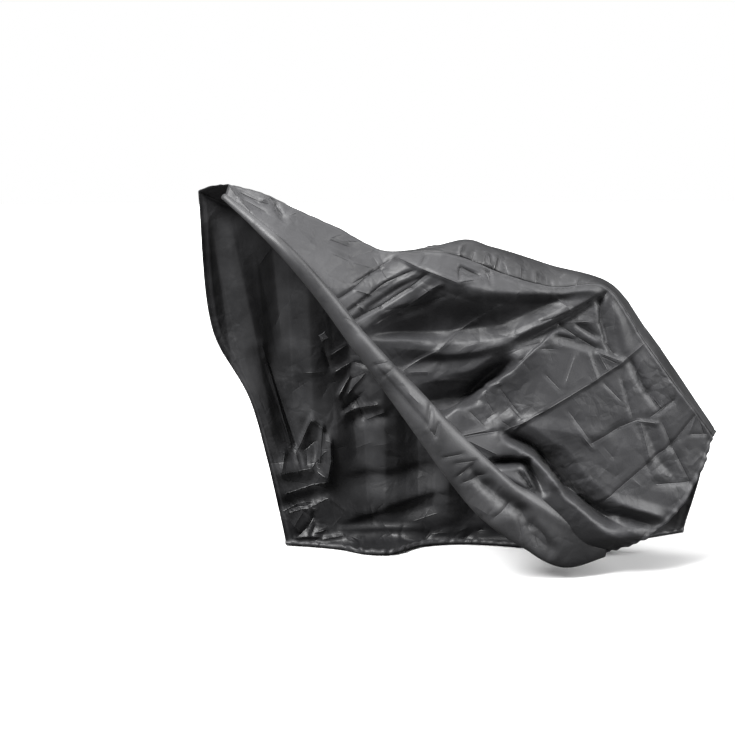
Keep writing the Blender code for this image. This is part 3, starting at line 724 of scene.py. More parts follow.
# %% [markdown]
# ## The near side's folds
#
# The near panel is full of folds: pulls that fan from the roll, swags across the middle with a deep hollow
# below them, a lit plane by the tail, and a deep valley beside the roll's flat end. They could be carved
# with a brush, but as rows they can be moved one by one. A row says, in millimetres, where its line starts
# and ends on the side view, how far it bows, how high it rises, and how wide its two flanks are. A trough
# has a height below 0. Lips come last, over the hollow and the valley.
# %% Folds of the near side
NEAR_FOLDS = bowed(
    # the shoulder under the hump
    (118, 971, 229, 922, 0, 14, 26, 20),
    (229, 922, 345, 877, -3, 22, 28, 18),
    (345, 877, 593, 865, -3, 22, 28, 18),
    (593, 865, 707, 882, 0, 12, 20, 14),
    # the hollow below it
    (78, 754, 218, 744, 0, -22, 50, 12),
    (217, 746, 416, 767, -2, -30, 60, 18),
    (416, 767, 591, 847, 0, -18, 40, 14),
    # pulls that fan from the roll
    (-61, 850, 71, 939, 0, -7, 10, 18),
    (-35, 815, 160, 938, 0, -8, 9, 16),
    (-20, 792, 188, 923, 3, -13, 10, 12),
    (17, 774, 230, 898, 0, 7, 13, 10),
    (75, 792, 212, 840, 0, -9, 12, 14),
    # swags across the middle
    (106, 714, 230, 696, -3, 8, 24, 14),
    (230, 689, 414, 715, -6, 17, 34, 14),
    (414, 715, 597, 810, -4, 13, 28, 12),
    (102, 660, 242, 664, 0, -8, 20, 14),
    (241, 620, 504, 690, -4, 8, 22, 12),
    (473, 749, 703, 865, -3, 16, 24, 10),
    (474, 727, 707, 843, -3, -12, 8, 14),
    # the deep hollow and the ledge where the cloth comes forward
    (40, 720, 231, 529, 0, -44, 70, 16),
    (201, 536, 333, 542, -4, -60, 44, 12),
    (333, 542, 437, 637, 2, -48, 38, 11),
    (274, 503, 369, 552, 0, 13, 9, 30),
    (369, 552, 440, 611, 2, 12, 9, 28),
    (440, 611, 572, 736, 4, 11, 8, 24),
    (582, 734, 708, 697, 4, -10, 10, 10),
    # folds that hang from the tail's corner
    (713, 838, 754, 681, 0, -14, 10, 10),
    (753, 845, 791, 702, 0, 10, 16, 16),
    (643, 779, 703, 737, 0, -9, 10, 8),
    (812, 659, 893, 527, -2, -13, 9, 12),
    (707, 684, 770, 659, 0, 8, 10, 10),
    # dips between the packing creases
    (851, 473, 895, 386, 0, -12, 20, 20),
    (890, 381, 956, 305, 0, -10, 18, 16),
    (498, 481, 715, 446, 0, 8, 20, 30),
    # the deep valley beside the roll's flat end, and the lip above it
    (450, 465, 560, 400, 6, 14, 30, 8),
    (560, 400, 638, 302, 2, 14, 30, 8),
    (638, 302, 746, 217, 0, 12, 30, 8),
    (444, 452, 554, 376, 6, -56, 30, 16),
    (554, 376, 623, 284, 2, -78, 36, 16),
    (623, 284, 737, 188, 0, -76, 36, 16),
    (737, 188, 795, 161, 0, -30, 20, 18),
    # the lobe under it
    (458, 416, 568, 316, 4, 14, 18, 18),
    (568, 316, 683, 232, 0, 14, 18, 16),
    # the pocket under the lobe
    (390, 369, 488, 370, 3, -38, 12, 12),
    (488, 370, 535, 282, 3, -36, 12, 12),
    (420, 341, 479, 304, 0, 14, 12, 12),
)
NEAR_DEEP = bowed(
    # above the ledge
    (215, 566, 340, 575, -4, -30, 26, 14),
    (340, 575, 440, 665, 2, -28, 24, 12),
    # right of the roll, under the fan
    (78, 754, 218, 744, 0, -10, 30, 12),
    # beside the roll's flat end
    (456, 446, 556, 372, 6, -28, 18, 14),
    (556, 372, 626, 280, 2, -32, 20, 14),
    (626, 280, 740, 184, 0, -28, 18, 14),
    # in the pocket under the lobe
    (398, 372, 488, 372, 3, -18, 10, 10),
    (488, 372, 530, 300, 3, -18, 10, 10),
    # the tuck under the lower edge, by the tail
    (722, 226, 788, 201, 0, -40, 18, 22),
    (788, 201, 885, 166, 0, -36, 16, 22),
    (711, 247, 836, 215, 0, 12, 20, 8),
    (836, 215, 904, 193, 0, 12, 18, 8),
    # the pocket above the shoulder
    (300, 930, 336, 914, 0, -14, 10, 10),
)
LIPS = bowed(
    # over the deep hollow
    (274, 503, 440, 611, 0, 16, 12, 30),
    (440, 611, 572, 736, 0, 14, 12, 30),
    # over the valley beside the roll's end
    (450, 465, 560, 400, 6, -5, 30, 12),
    (560, 400, 746, 217, 2, -5, 30, 12),
)
print(len(NEAR_FOLDS["bow"]) + len(NEAR_DEEP["bow"]), "folds on the near side, and", len(LIPS["bow"]), "lips")

# %% [markdown]
# ## The near side's creases
#
# Two kinds of crease are sharper than the folds. Long straight ones stay from the flat packing, and short
# ones form where the cloth is pushed together. A picture of creases would stay flat in a light from the
# side, so each is a row like a fold's, without the bow. It has a sharp section in the mesh and a fine line
# in the finish.
# %% Creases of the near side
NEAR_CREASES = straight(
    # long creases from packing
    (130, 633, 232, 697, 3.5, 4, 10),
    (232, 697, 344, 787, 3.5, 4, 10),
    (344, 787, 409, 834, 3, 4, 10),
    (423, 458, 542, 526, 4, 30, 5),
    (542, 526, 680, 602, 4, 30, 5),
    (680, 602, 773, 656, 4, 28, 5),
    (773, 656, 854, 714, 3.5, 24, 5),
    (676, 421, 771, 467, -4, 12, 30),
    (771, 467, 830, 488, -4, 12, 30),
    (870, 492, 949, 541, -4, 12, 30),
    (824, 484, 889, 474, 3.5, 4, 6),
    (717, 247, 870, 359, -3.8, 5, 18),
    (870, 359, 942, 406, -3.8, 5, 12),
    (942, 406, 1026, 495, -3.8, 6, 14),
    # creases across them
    (653, 447, 687, 408, 3.5, 6, 4),
    (610, 524, 675, 436, -2.2, 10, 4),
    (840, 477, 868, 364, 5.5, 20, 6),
    (908, 478, 942, 406, -3.2, 12, 6),
    (944, 401, 1009, 289, -4.2, 12, 14),
    (889, 290, 1016, 286, -3.5, 12, 10),
    # creases by the tail
    (819, 655, 865, 568, -3.5, 4, 6),
    (865, 568, 902, 520, -3.5, 4, 6),
    (876, 555, 910, 516, 3.2, 4, 8),
    (902, 506, 951, 539, -3.2, 5, 5),
    (1028, 493, 1060, 427, -3.4, 4, 4),
    (1005, 433, 1076, 425, -2.4, 4, 4),
    (1028, 493, 1005, 440, 2.4, 4, 4),
    (721, 602, 779, 543, -2.4, 6, 4),
    (778, 615, 804, 519, -2.4, 8, 4),
    (787, 593, 814, 492, -2.4, 8, 4),
    # facets at the ledge
    (583, 777, 645, 736, -4.2, 5, 5),
    (637, 775, 705, 736, -4.2, 6, 4),
    (583, 777, 682, 781, 3.4, 6, 6),
    (645, 736, 707, 699, -4.2, 5, 5),
    (590, 739, 637, 729, -4, 5, 5),
    (674, 691, 698, 615, 4.2, 4, 12),
    (704, 690, 733, 636, 3.2, 10, 4),
    (699, 693, 772, 665, 3.2, 4, 4),
    (709, 682, 766, 656, -3, 4, 4),
    # creases from the tail's upper corner
    (717, 837, 716, 778, -4.2, 4, 6),
    (716, 778, 731, 718, -4.2, 4, 6),
    (731, 718, 761, 679, -4, 4, 6),
    (749, 834, 757, 754, 3.2, 5, 5),
    (738, 873, 716, 835, -4.2, 4, 6),
    (577, 855, 622, 813, 3.2, 4, 10),
    (624, 810, 681, 836, -4.2, 4, 4),
    (681, 836, 731, 866, -4.2, 4, 4),
    (528, 784, 624, 810, -4.2, 4, 4),
    (480, 709, 544, 724, -2.4, 5, 5),
    # crumples left of the middle
    (377, 582, 381, 545, -3.4, 4, 5),
    (381, 545, 400, 510, -3.4, 4, 5),
    (400, 510, 375, 492, -3, 4, 5),
    (416, 587, 471, 512, -3.6, 4, 4),
    (439, 539, 475, 496, -3.4, 4, 4),
    (386, 590, 418, 606, 3, 4, 4),
    (301, 449, 380, 464, 3.4, 4, 6),
    (326, 519, 375, 470, -2.4, 5, 5),
    (416, 493, 448, 471, -2.4, 5, 5),
    (449, 458, 484, 498, 3, 4, 5),
    (471, 489, 504, 501, 2.6, 4, 5),
    (305, 447, 413, 462, -3.4, 6, 20),
    (314, 437, 403, 395, 4.5, 14, 5),
    (475, 354, 510, 293, 7, 5, 5),
    (465, 349, 502, 290, -6, 4, 5),
    (527, 706, 579, 703, -2.2, 5, 5),
    (542, 633, 588, 584, -2.2, 5, 4),
    (635, 685, 602, 600, 2.2, 10, 5),
    # fan from the front peak
    (-365, 1180, -338, 1141, 5, 5, 12),
    (-338, 1141, -302, 1102, 5, 5, 12),
    (-337, 1157, -281, 1131, -5, 6, 5),
    (-281, 1131, -245, 1121, -5, 5, 5),
    (-327, 1137, -254, 1096, -5, 6, 5),
    (-246, 1144, -235, 1128, -6, 6, 5),
    (-235, 1128, -211, 1079, -6, 8, 5),
    (-272, 1131, -255, 1145, 4, 5, 5),
    (-229, 1115, -211, 1089, -9, 8, 8),
    (-198, 1089, -159, 1103, 4, 6, 5),
    (-78, 1025, -29, 1038, 3.6, 6, 5),
    (-80, 1022, -13, 996, -3.6, 6, 8),
    (-30, 1017, 19, 1013, 3.6, 6, 5),
    (-76, 985, -16, 957, 3, 6, 10),
    (-16, 957, 50, 938, 3, 6, 10),
    (-23, 968, 72, 990, -2.6, 8, 5),
    (65, 940, 107, 965, -3.6, 6, 5),
    # fan below the front corner
    (-66, 853, -11, 885, -4.2, 4, 4),
    (-11, 885, 37, 923, -4.2, 4, 4),
    (37, 923, 71, 939, -3.8, 4, 4),
    (-36, 818, 12, 851, -4.2, 4, 4),
    (12, 851, 78, 898, -4.2, 4, 4),
    (78, 898, 162, 936, -3.8, 4, 4),
    (-22, 794, 64, 831, -6, 4, 5),
    (64, 831, 149, 885, -6, 4, 5),
    (149, 885, 197, 926, -5, 4, 5),
    (47, 777, 124, 814, 4.2, 4, 6),
    (124, 814, 203, 881, 4.2, 4, 6),
    (203, 881, 232, 900, 3.6, 4, 6),
    (77, 820, 182, 831, -2.4, 5, 5),
    (182, 831, 246, 861, -2.4, 5, 5),
    (-10, 879, 33, 866, 3.2, 4, 4),
    (-5, 839, 14, 822, 2.6, 4, 4),
    # a three-cornered pocket above the shoulder, and the pleats by it
    (296, 945, 358, 914, -6, 5, 5),
    (358, 914, 279, 905, 5, 5, 8),
    (296, 945, 279, 905, -6, 5, 5),
    (367, 946, 378, 898, -4, 4, 5),
    (384, 939, 380, 905, -3.6, 4, 5),
    (202, 980, 176, 950, -4, 4, 5),
    (119, 971, 77, 941, -3.6, 4, 5),
    (77, 941, -21, 896, -3.6, 4, 5),
    (73, 971, 85, 939, -2.6, 5, 5),
    # creases above the shoulder
    (50, 975, 84, 907, -2.8, 6, 10),
    (118, 971, 176, 943, 3.6, 6, 5),
    (176, 943, 281, 902, 3.6, 6, 5),
    (153, 631, 216, 631, 3, 4, 5),
    (245, 607, 338, 604, 3, 4, 5),
)
NEAR_STREWN = (
    strewn(3, 60, (0.45, 1.02), (0.30, 0.84), 0.060, 0.0011, (35, 45, -50, 80)),
    strewn(4, 40, (0.10, 0.45), (0.55, 0.92), 0.050, 0.0011, (20, 35, -60)),
    strewn(5, 40, (0.60, 1.08), (0.10, 0.40), 0.045, 0.0013, (45, 30, -45)),
)
strewn_near = sum(len(zone["bow"]) for zone in NEAR_STREWN)
print(len(NEAR_CREASES["bow"]), "creases drawn on the near side,", strewn_near, "strewn")

# %% [markdown]
# ## The near panel
#
# The near panel fills the side view between the near seam and the line where the roll begins. It could be
# one flat sheet that is bent, but ribs between two lines follow the cover's shape with few numbers. Folds
# are added square to the cloth, then lips within it, then creases, and last the rise along the seam and the
# hem.
# %% The near panel
NEAR_GATHERS = 0.0045
FOLD_FADE = (0.04, 0.05)        # shares of a rib over which folds die out, at the roll and at the seam
NEAR_SEAM_FADE = (0.2, 0)       # and the rise along the seam
NEAR_HEM_FADE = (0.04, 0.02)    # and the hem


def near_panel(station, rib):
    """
    The plain panel above the roll. Each rib is a straight line from the roll to the near seam in the side
    view, bowed towards the tail and the floor by a parabola, and its depth is a smooth curve through five
    values.
    """
    low = line(RIBS, station, "roll_x roll_y roll_z")
    high = line(SEAMS, station, "near_x near_y near_z")
    inner = line(RIBS, station, "quarter_y half_y upper_y")
    depths = np.stack([low[:, 1], *inner.T, high[:, 1]])
    rise = high - low
    points = low[:, None] + rise[:, None] * rib[None, :, None]
    points[..., 1] = smooth(rib, np.linspace(0, 1, len(depths)), depths).T
    bow_way = unit(np.stack([rise[:, 2], np.zeros(len(rise)), -rise[:, 0]], axis=-1))
    bow = smooth(station, RIBS["station"], RIBS["bow"])
    points += bow_way[:, None] * (bow[:, None] * 4 * rib * (1 - rib))[..., None]
    return points, np.linalg.norm(rise, axis=1)


def near_cloth(station, rib):
    """The near panel with its folds, lips and creases, and with its seam and hem."""
    points, rise = near_panel(station, rib)
    fade = edge_fade(rib, *FOLD_FADE)
    x, z = points[..., 0], points[..., 2]
    height = (fold_height(NEAR_FOLDS, x, z) + fold_height(NEAR_DEEP, x, z)) * fade
    points = lifted(points, -1, height) + lip_shift(LIPS, x, z) * fade[..., None]
    x, z = points[..., 0], points[..., 2]
    crease = fold_height(NEAR_CREASES, x, z, sharp=True)
    crease += sum(fold_height(zone, x, z, sharp=True) for zone in NEAR_STREWN)
    points = lifted(points, -1, crease * fade)
    below = (1 - rib) * rise[:, None]
    points = points + seam_rise(station, "near", below) * edge_fade(rib, *NEAR_SEAM_FADE)[..., None]
    hem = hem_rise(points, at_end=True, gathered=NEAR_GATHERS)
    return lifted(points, -1, hem * edge_fade(rib, *NEAR_HEM_FADE))


middle_rib = near_panel(np.array((0.5,)), np.array((0.0, 1.0)))[1][0]
print("the rib half way to the tail is", middle_rib.round(2), "m long")

# %% [markdown]
# ## The roll
#
# The front half of the near side is rolled back one and a half times. The roll could be a bevelled curve,
# but then cloth and roll would be two pieces with a gap, and they are one piece of cloth. So the turns go
# on from the panel's own first line, each one a step inside the last, around an oval that flattens towards
# the floor.
# %% The rolled edge
ROLL_PARTS = ((540, 300, 9), (300, 60, 42), (60, 0, 5))     # two turns in degrees, and the lines between them
LAYER_STEP = 0.0026     # how much smaller the roll is after a whole turn
ROLL_TURN = np.radians(np.concatenate([np.linspace(start, end, lines, endpoint=False)
                                       for start, end, lines in ROLL_PARTS]))
ROLL_LINES = len(ROLL_TURN)
ROLL_FOLDS = bowed(
    # the valley along the flattened end, and the ridge beside it
    (323, 360, 377, 306, -4, -20, 14, 20),
    (377, 306, 479, 231, -4, -24, 14, 24),
    (479, 231, 564, 108, -6, -22, 14, 24),
    (365, 374, 456, 287, 0, 8, 14, 14),
    (456, 287, 625, 172, 0, 8, 14, 14),
    # the edge of a layer
    (37, 671, 186, 500, 0, -5, 4, 12),
    (199, 552, 190, 495, 0, -10, 6, 10),
)
ROLL_CREASES = straight(
    (36, 674, 81, 682, -2.5, 5, 5),
    (58, 640, 94, 668, -2, 6, 4),
    (191, 488, 208, 463, -3.5, 4, 6),
    (208, 463, 217, 499, -3.5, 4, 6),
    (233, 400, 291, 410, -3, 4, 6),
    (269, 383, 331, 388, -3, 4, 6),
    (273, 342, 325, 379, -4, 4, 10),
    (289, 323, 361, 347, -4, 10, 5),
    (385, 213, 437, 254, -3.5, 5, 10),
    (463, 205, 472, 148, -2.5, 6, 6),
    (518, 154, 525, 112, -2.5, 6, 10),
    (324, 255, 370, 224, 1.5, 6, 6),
    (128, 595, 164, 558, 2, 6, 8),
    (-50, 807, -17, 794, -1.5, 5, 5),
    (-13, 762, 6, 766, -1.5, 5, 5),
)


def rolled_edge(cloth, station):
    """
    The rolled front edge, from its inner end to the line where it meets the panel. Its section is an
    ellipse that lies on the panel, and each further turn lies one step inside the last.
    """
    root = cloth[:, 0]
    along = unit(np.gradient(root, axis=0))
    across = line(SEAMS, station, "near_x near_y near_z") - root
    across = unit(across - along * np.sum(across * along, axis=-1, keepdims=True))
    out = unit(np.cross(along, across))
    out *= np.where(out[:, 1:2] > 0, -1, 1)
    wide = smooth(station, RIBS["station"], RIBS["roll_wide"])[:, None]
    thick = smooth(station, RIBS["station"], RIBS["roll_thick"])[:, None]
    turn = ROLL_TURN
    drawn_in = LAYER_STEP * turn / math.tau
    sideways = -np.sin(turn) * (wide - drawn_in)
    forward = thick - np.cos(turn) * (thick - drawn_in)
    points = root[:, None] + across[:, None] * sideways[..., None] + out[:, None] * forward[..., None]
    face = across[:, None] * (-np.sin(turn) / wide)[..., None]
    face -= out[:, None] * (np.cos(turn) / thick)[..., None]
    x, z = points[..., 0], points[..., 2]
    lift = fold_height(ROLL_FOLDS, x, z) + fold_height(ROLL_CREASES, x, z, sharp=True)
    return points + unit(face) * (lift * (0.5 - 0.5 * np.cos(turn)))[..., None]


print("the roll turns", ROLL_PARTS[0][0], "degrees in", ROLL_LINES, "lines of the grid")

# %% [markdown]
# ## The near side as one sheet
#
# Panel and roll share one grid, so the cloth runs on without a break. More of its lines lie at the front,
# where the ribs are short, and beside the seam, where the cloth puckers. The roll shows the cloth's inside,
# so its crease lines change sign there. The roll gets painted light, but its flat end gets painted shade,
# and the panel gets painted light at its front and at its tail.
# %% The near side
STATIONS = 300
RIB_LINES = 109
SHARE_OF_STATIONS = ((0, 0.16, 0.47, 1), (0, 0.33, 0.62, 1))    # shares of the grid's lines, their stations
RIBS_BY_SEAM = (0.972, 0.980, 0.987, 0.992, 0.996, 1.0)
ROLL_PAINTED_LIGHT = ((0.88, 0.96), (1.0, -0.1))                          # shares of the grid's lines, and the painted light there, which turns to painted shade at the flat end
PANEL_PAINTED_LIGHT = ((-0.10, 0.03, 0.70, 0.95), (0.7, 0, 0, 0.6))       # places on X, and the painted light added there


def near_side():
    """The rolled edge and the near panel, as one grid."""
    station = np.interp(np.linspace(0, 1, STATIONS), *SHARE_OF_STATIONS)
    evenly = np.linspace(0, RIBS_BY_SEAM[0], RIB_LINES - len(RIBS_BY_SEAM) + 1)
    rib = np.append(evenly, RIBS_BY_SEAM[1:])
    cloth = near_cloth(station, rib)
    return np.concatenate([rolled_edge(cloth, station), cloth], axis=1)


def near_creases(points):
    """The crease lines of the panel, and those of the roll, which fade where it turns away."""
    x, z = points[..., 0], points[..., 2]
    creases = crease_lines(joined(NEAR_CREASES, *NEAR_STREWN), x, z)
    creases[:, :, :ROLL_LINES] = crease_lines(ROLL_CREASES, x[:, :ROLL_LINES], z[:, :ROLL_LINES])
    creases[:, :, :ROLL_LINES, 1] *= -np.clip(-2 * np.cos(ROLL_TURN), 0, 1)
    return creases


points = near_side()
face = outward(points, -1)
# painted highlights on ridges
painted_lighting = painted_ridge_highlight(points, face)
# painted light on the roll, with painted shade at its flat end
painted_lighting[:, :ROLL_LINES] = np.interp(np.linspace(0, 1, STATIONS), *ROLL_PAINTED_LIGHT)[:, None]
# painted light at the panel's front and at its tail
painted_lighting[:, ROLL_LINES:] += np.interp(points[:, ROLL_LINES:, 0], *PANEL_PAINTED_LIGHT)
near = cloth_object("near_side_cloth", points, -1, near_creases(points), painted_lighting)
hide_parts("near_side_panel")
# one row lies on the fourth line from the seam, the other on the fifth station from the hem
near_rows = [laid_on(points[:, -4], face[:, -4]),
             laid_on(points[-5, ROLL_LINES:], face[-5, ROLL_LINES:])]
near_thread = stitches("near_stitching", near_rows, THREAD_FINISH)

# %% [markdown]
# ## The gusset's folds
#
# The gusset is the long strip over the top. Pleats are drawn in along its near edge, a few folds fan out
# from the front peak, and others lie by the hump. The camera doesn't see it square on, so its folds are
# placed on the cloth laid flat: here x is the run along the crown and z the way across it.
# %% Folds of the gusset
GUSSET_FOLDS = straight(
    # pleats drawn in along the near edge
    (790, -135, 797, -70, -4.5, 6, 8),
    (826, -140, 834, -85, 3.5, 8, 8),
    (853, -145, 858, -90, -3.5, 8, 8),
    (876, -150, 866, -85, -5.5, 6, 9),
    (878, -150, 894, -80, -5.5, 9, 6),
    (922, -152, 916, -100, 3, 8, 8),
    (960, -158, 964, -90, -3, 8, 8),
    (1005, -165, 1015, -100, -2.8, 7, 7),
    (1150, -155, 1165, -100, -2.2, 7, 7),
    (1060, -165, 1066, -120, 2, 8, 8),
    # by the hump
    (569, 88, 601, 29, -3.2, 6, 6),
    (655, -50, 690, -40, -4, 6, 6),
    (701, 60, 690, -30, -3, 6, 6),
    (680, 52, 712, -30, -3, 6, 6),
    (600, -20, 720, -60, 3.5, 14, 10),
    # a fan from the front peak
    (61, -27, 180, 103, 6, 8, 12),
    (72, -51, 163, 20, -5.5, 6, 10),
    (163, 20, 167, -67, 3, 6, 6),
    (144, -93, 233, 5, -3.5, 8, 8),
    (233, 5, 243, 73, -3.5, 6, 6),
    (289, 30, 432, 14, 2, 10, 12),
    (476, 60, 491, 92, -3.5, 5, 5),
    # along the slope to the tail
    (1144, 30, 1278, 0, 2.2, 14, 10),
    (900, 10, 1080, -20, -2.5, 16, 12),
)
GUSSET_STREWN = (
    strewn(10, 12, (0.10, 0.75), (-0.10, 0.10), 0.120, 0.0012, (0, 25, -20)),
    strewn(11, 34, (0.75, 2.00), (-0.15, 0.12), 0.050, 0.0012, (90, 70, 15)),
)
print(len(GUSSET_FOLDS["bow"]), "folds on the gusset")

# %% [markdown]
# ## The gusset
#
# The gusset runs from the front peak over the hump to the tail, as wide as the cover is deep. A curve swept
# along the top could make it, but its edges have to be the two seams exactly. So across each station it is
# a parabola through the near seam, the crown line and the far seam.
# %% The gusset
GUSSET_STATIONS = 400
GUSSET_LINES = 62
GUSSET_GATHERS = 0.0012
GUSSET_FADE = (0.04, 0.04)      # shares of its width over which folds die out towards the seams
GUSSET_PAINTED_LIGHT = ((0, 0.06, 0.32), (1, 0.6, 0))     # stations, and the painted light added there


def gusset():
    """The gusset, and its crease lines. The parabola through three values at 0, 1/2 and 1 is Lagrange's."""
    station = np.linspace(0, 1, GUSSET_STATIONS)
    share = np.linspace(0, 1, GUSSET_LINES)
    near_edge, crown, far_edge = (line(SEAMS, station, f"{name}_x {name}_y {name}_z")[:, None]
                                  for name in ("near", "crown", "far"))
    t = share[None, :, None]
    points = near_edge * (1 - t) * (1 - 2 * t) + crown * 4 * t * (1 - t) + far_edge * t * (2 * t - 1)
    from_near = length_down(points)
    middle = GUSSET_LINES // 2
    across = from_near - from_near[:, middle:middle + 1]
    run = np.repeat(run_along(points[:, middle])[:, None], GUSSET_LINES, axis=1)
    height = fold_height(GUSSET_FOLDS, run, across)
    height += sum(fold_height(zone, run, across, sharp=True) for zone in GUSSET_STREWN)
    points = lifted(points, -1, height * edge_fade(share, *GUSSET_FADE))
    from_far = from_near[:, -1:] - from_near
    points = points + seam_rise(station, "near", from_near) + seam_rise(station, "far", from_far)
    for at_end in (False, True):
        points = lifted(points, -1, hem_rise(points, at_end, GUSSET_GATHERS, seed=2))
    return points, crease_lines(joined(GUSSET_FOLDS, *GUSSET_STREWN), run, across)


points, creases = gusset()
face = outward(points, -1)
# painted highlights on ridges, and painted light towards the front peak
painted_lighting = painted_ridge_highlight(points, face) + np.interp(np.linspace(0, 1, GUSSET_STATIONS), *GUSSET_PAINTED_LIGHT)[:, None]
top = cloth_object("gusset_cloth", points, -1, creases, painted_lighting)
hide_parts("top_gusset")
# a row lies beside each of its two seams
top_rows = [laid_on(points[:, 1], face[:, 1]),
            laid_on(points[:, -2], face[:, -2])]
top_thread = stitches("gusset_stitching", top_rows, THREAD_FINISH)

# %% [markdown]
# ## The far side's folds and creases
#
# The far side hangs in long upright drapes, each a ridge and a trough in turn, and goes on in sharp facets
# where the drapes meet the floor. A wave along the cloth could make such drapes, but they would be too
# even, so they are rows as well. The camera sees the inside, where a trough of the outside is a ridge.
# %% Folds and creases of the far side
FAR_FOLDS = straight(
    # long drapes below the front peak
    (-405, 1020, -350, 560, 16, 26, 26),
    (-350, 1030, -230, 420, -22, 34, 34),
    (-268, 640, -140, 268, 26, 28, 28),
    (-230, 1000, -200, 700, 18, 30, 30),
    (-120, 940, -95, 440, -24, 36, 36),
    (-119, 408, -78, 273, 20, 24, 24),
    (-52, 355, -56, 200, -24, 22, 22),
    (-10, 860, 50, 300, 24, 34, 34),
    (55, 558, 100, 488, -18, 28, 28),
    (110, 850, 150, 120, -26, 36, 36),
    (36, 418, 146, 445, 14, 20, 20),
    (215, 820, 250, 150, 28, 38, 38),
    (330, 880, 345, 120, -28, 40, 40),
    (290, 620, 300, 120, 16, 26, 26),
    (430, 820, 440, 100, 26, 36, 36),
    (530, 800, 525, 120, -28, 40, 40),
    (485, 560, 480, 100, -12, 22, 22),
    (640, 780, 610, 100, 26, 38, 38),
    (740, 780, 700, 160, -26, 36, 36),
    (665, 420, 650, 100, 14, 24, 24),
    (850, 640, 800, 180, 24, 36, 36),
    (930, 520, 890, 200, -22, 32, 32),
    (1010, 440, 980, 180, 18, 30, 30),
    # creases across the foot of the drapes
    (-207, 257, -98, 261, -16, 22, 22),
    (-192, 135, -59, 167, 16, 20, 20),
    (80, 120, 330, 110, 10, 24, 24),
    (420, 230, 700, 180, -12, 26, 26),
    # the wide lit plane behind the middle, and its edge
    (32, 225, 300, 255, 14, 14, 40),
    (34, 85, 312, 185, -22, 50, 12),
    (0, 45, 260, 50, -8, 8, 10),
)
FAR_CREASES = straight(
    # facets of the first drape, from inside
    (-188, 322, -199, 248, -4.5, 5, 8),
    (-202, 245, -149, 251, -4.5, 5, 5),
    (-149, 251, -101, 259, -4.5, 5, 5),
    (-154, 318, -140, 263, -4.5, 5, 8),
    (-116, 313, -114, 267, 3.5, 6, 6),
    (-101, 259, -58, 326, -5.5, 6, 5),
    (-193, 353, -137, 310, 4, 6, 6),
    (-45, 358, -41, 290, -10, 6, 5),
    (-41, 290, -50, 230, -10, 6, 5),
    (-87, 251, -49, 224, -4.5, 5, 5),
    # the leaf-shaped fold and the facets by it
    (-198, 113, -138, 138, -4.5, 5, 5),
    (-138, 138, -96, 141, -4.5, 5, 5),
    (-178, 108, -106, 123, -7, 4, 6),
    (-106, 123, -43, 155, -7, 4, 6),
    (-172, 121, -98, 134, 6, 4, 4),
    (-191, 94, -136, 37, -4.5, 5, 5),
    (-89, 94, -112, 56, 4.5, 5, 5),
    (-112, 56, -145, 25, 4.5, 5, 5),
    (-43, 155, 13, 106, -3.5, 10, 5),
    (-100, 202, -40, 189, 4, 10, 10),
    (-191, 221, -106, 203, 3, 10, 10),
    # small creases behind the middle
    (231, 70, 321, 101, -2, 12, 12),
    (95, 124, 104, 73, 3, 6, 6),
    (85, 97, 161, 110, -3, 6, 6),
    # crumples right of the patch, behind the roll
    (2, 444, 107, 483, -9, 5, 10),
    (4, 460, 57, 499, 7, 6, 6),
    (12, 507, 68, 585, -10, 12, 5),
    (17, 553, 68, 585, 6, 5, 5),
    (-18, 504, 19, 568, -7, 5, 5),
    (-32, 584, 25, 616, -7, 5, 6),
    (25, 616, 75, 605, 6, 5, 5),
    (-47, 640, 5, 669, -5, 5, 6),
    (40, 494, 69, 426, 7, 6, 6),
    (75, 420, 124, 454, -7, 5, 6),
    (-67, 660, -46, 599, 4, 6, 6),
    # the first drape's long valley and ridge
    (-242, 621, -151, 330, 12, 14, 10),
    (-262, 677, -164, 325, -6, 8, 12),
    (-151, 305, -102, 432, -8, 6, 10),
    (-102, 432, -69, 406, -8, 5, 5),
    (-69, 406, -75, 275, -10, 6, 5),
    (-128, 315, -81, 354, 6, 6, 6),
    # facets by the leaf-shaped fold
    (-190, 174, -42, 218, -6, 5, 8),
    (-177, 150, -85, 79, 5, 6, 8),
    # at the floor
    (-152, 22, -113, 27, -6, 5, 5),
    (-113, 27, -73, 23, -6, 5, 5),
    (-93, 36, -52, 47, -6, 6, 4),
    (-66, 16, 3, 26, -6, 5, 5),
    (-86, 65, -100, 30, 5, 5, 5),
)
FAR_STREWN = (
    strewn(6, 46, (-0.30, 0.20), (0.02, 0.60), 0.070, 0.0024, (0, 60, -55)),
    strewn(7, 40, (0.00, 1.00), (0.02, 0.70), 0.090, 0.0018, (5, 50, -40)),
    strewn(8, 30, (-0.40, 0.80), (0.45, 1.00), 0.080, 0.0014, (-25, 60, 35)),
    strewn(9, 30, (-0.15, 0.45), (0.00, 0.04), 0.040, 0.0030, (0, 35, -35)),
)
print(len(FAR_FOLDS["bow"]), "folds and", len(FAR_CREASES["bow"]), "creases drawn on the far side")

# %% [markdown]
# ## The hem at the floor
#
# Along the floor the far panel's hem is a gathered tube, drawn tight. The tube could be a second object,
# but in a real hem the same cloth goes up and back over itself, and so does the grid here: a few more lines
# go most of the way round an oval.
# %% The tube of the hem
TUBE_LINES = 12
TUBE_WIDE = 0.010
TUBE_TALL = 0.008
TUBE_TURN = math.radians(320)
TUBE_UNEVEN = 0.25      # how much fuller or thinner the gathers make the tube, as a share


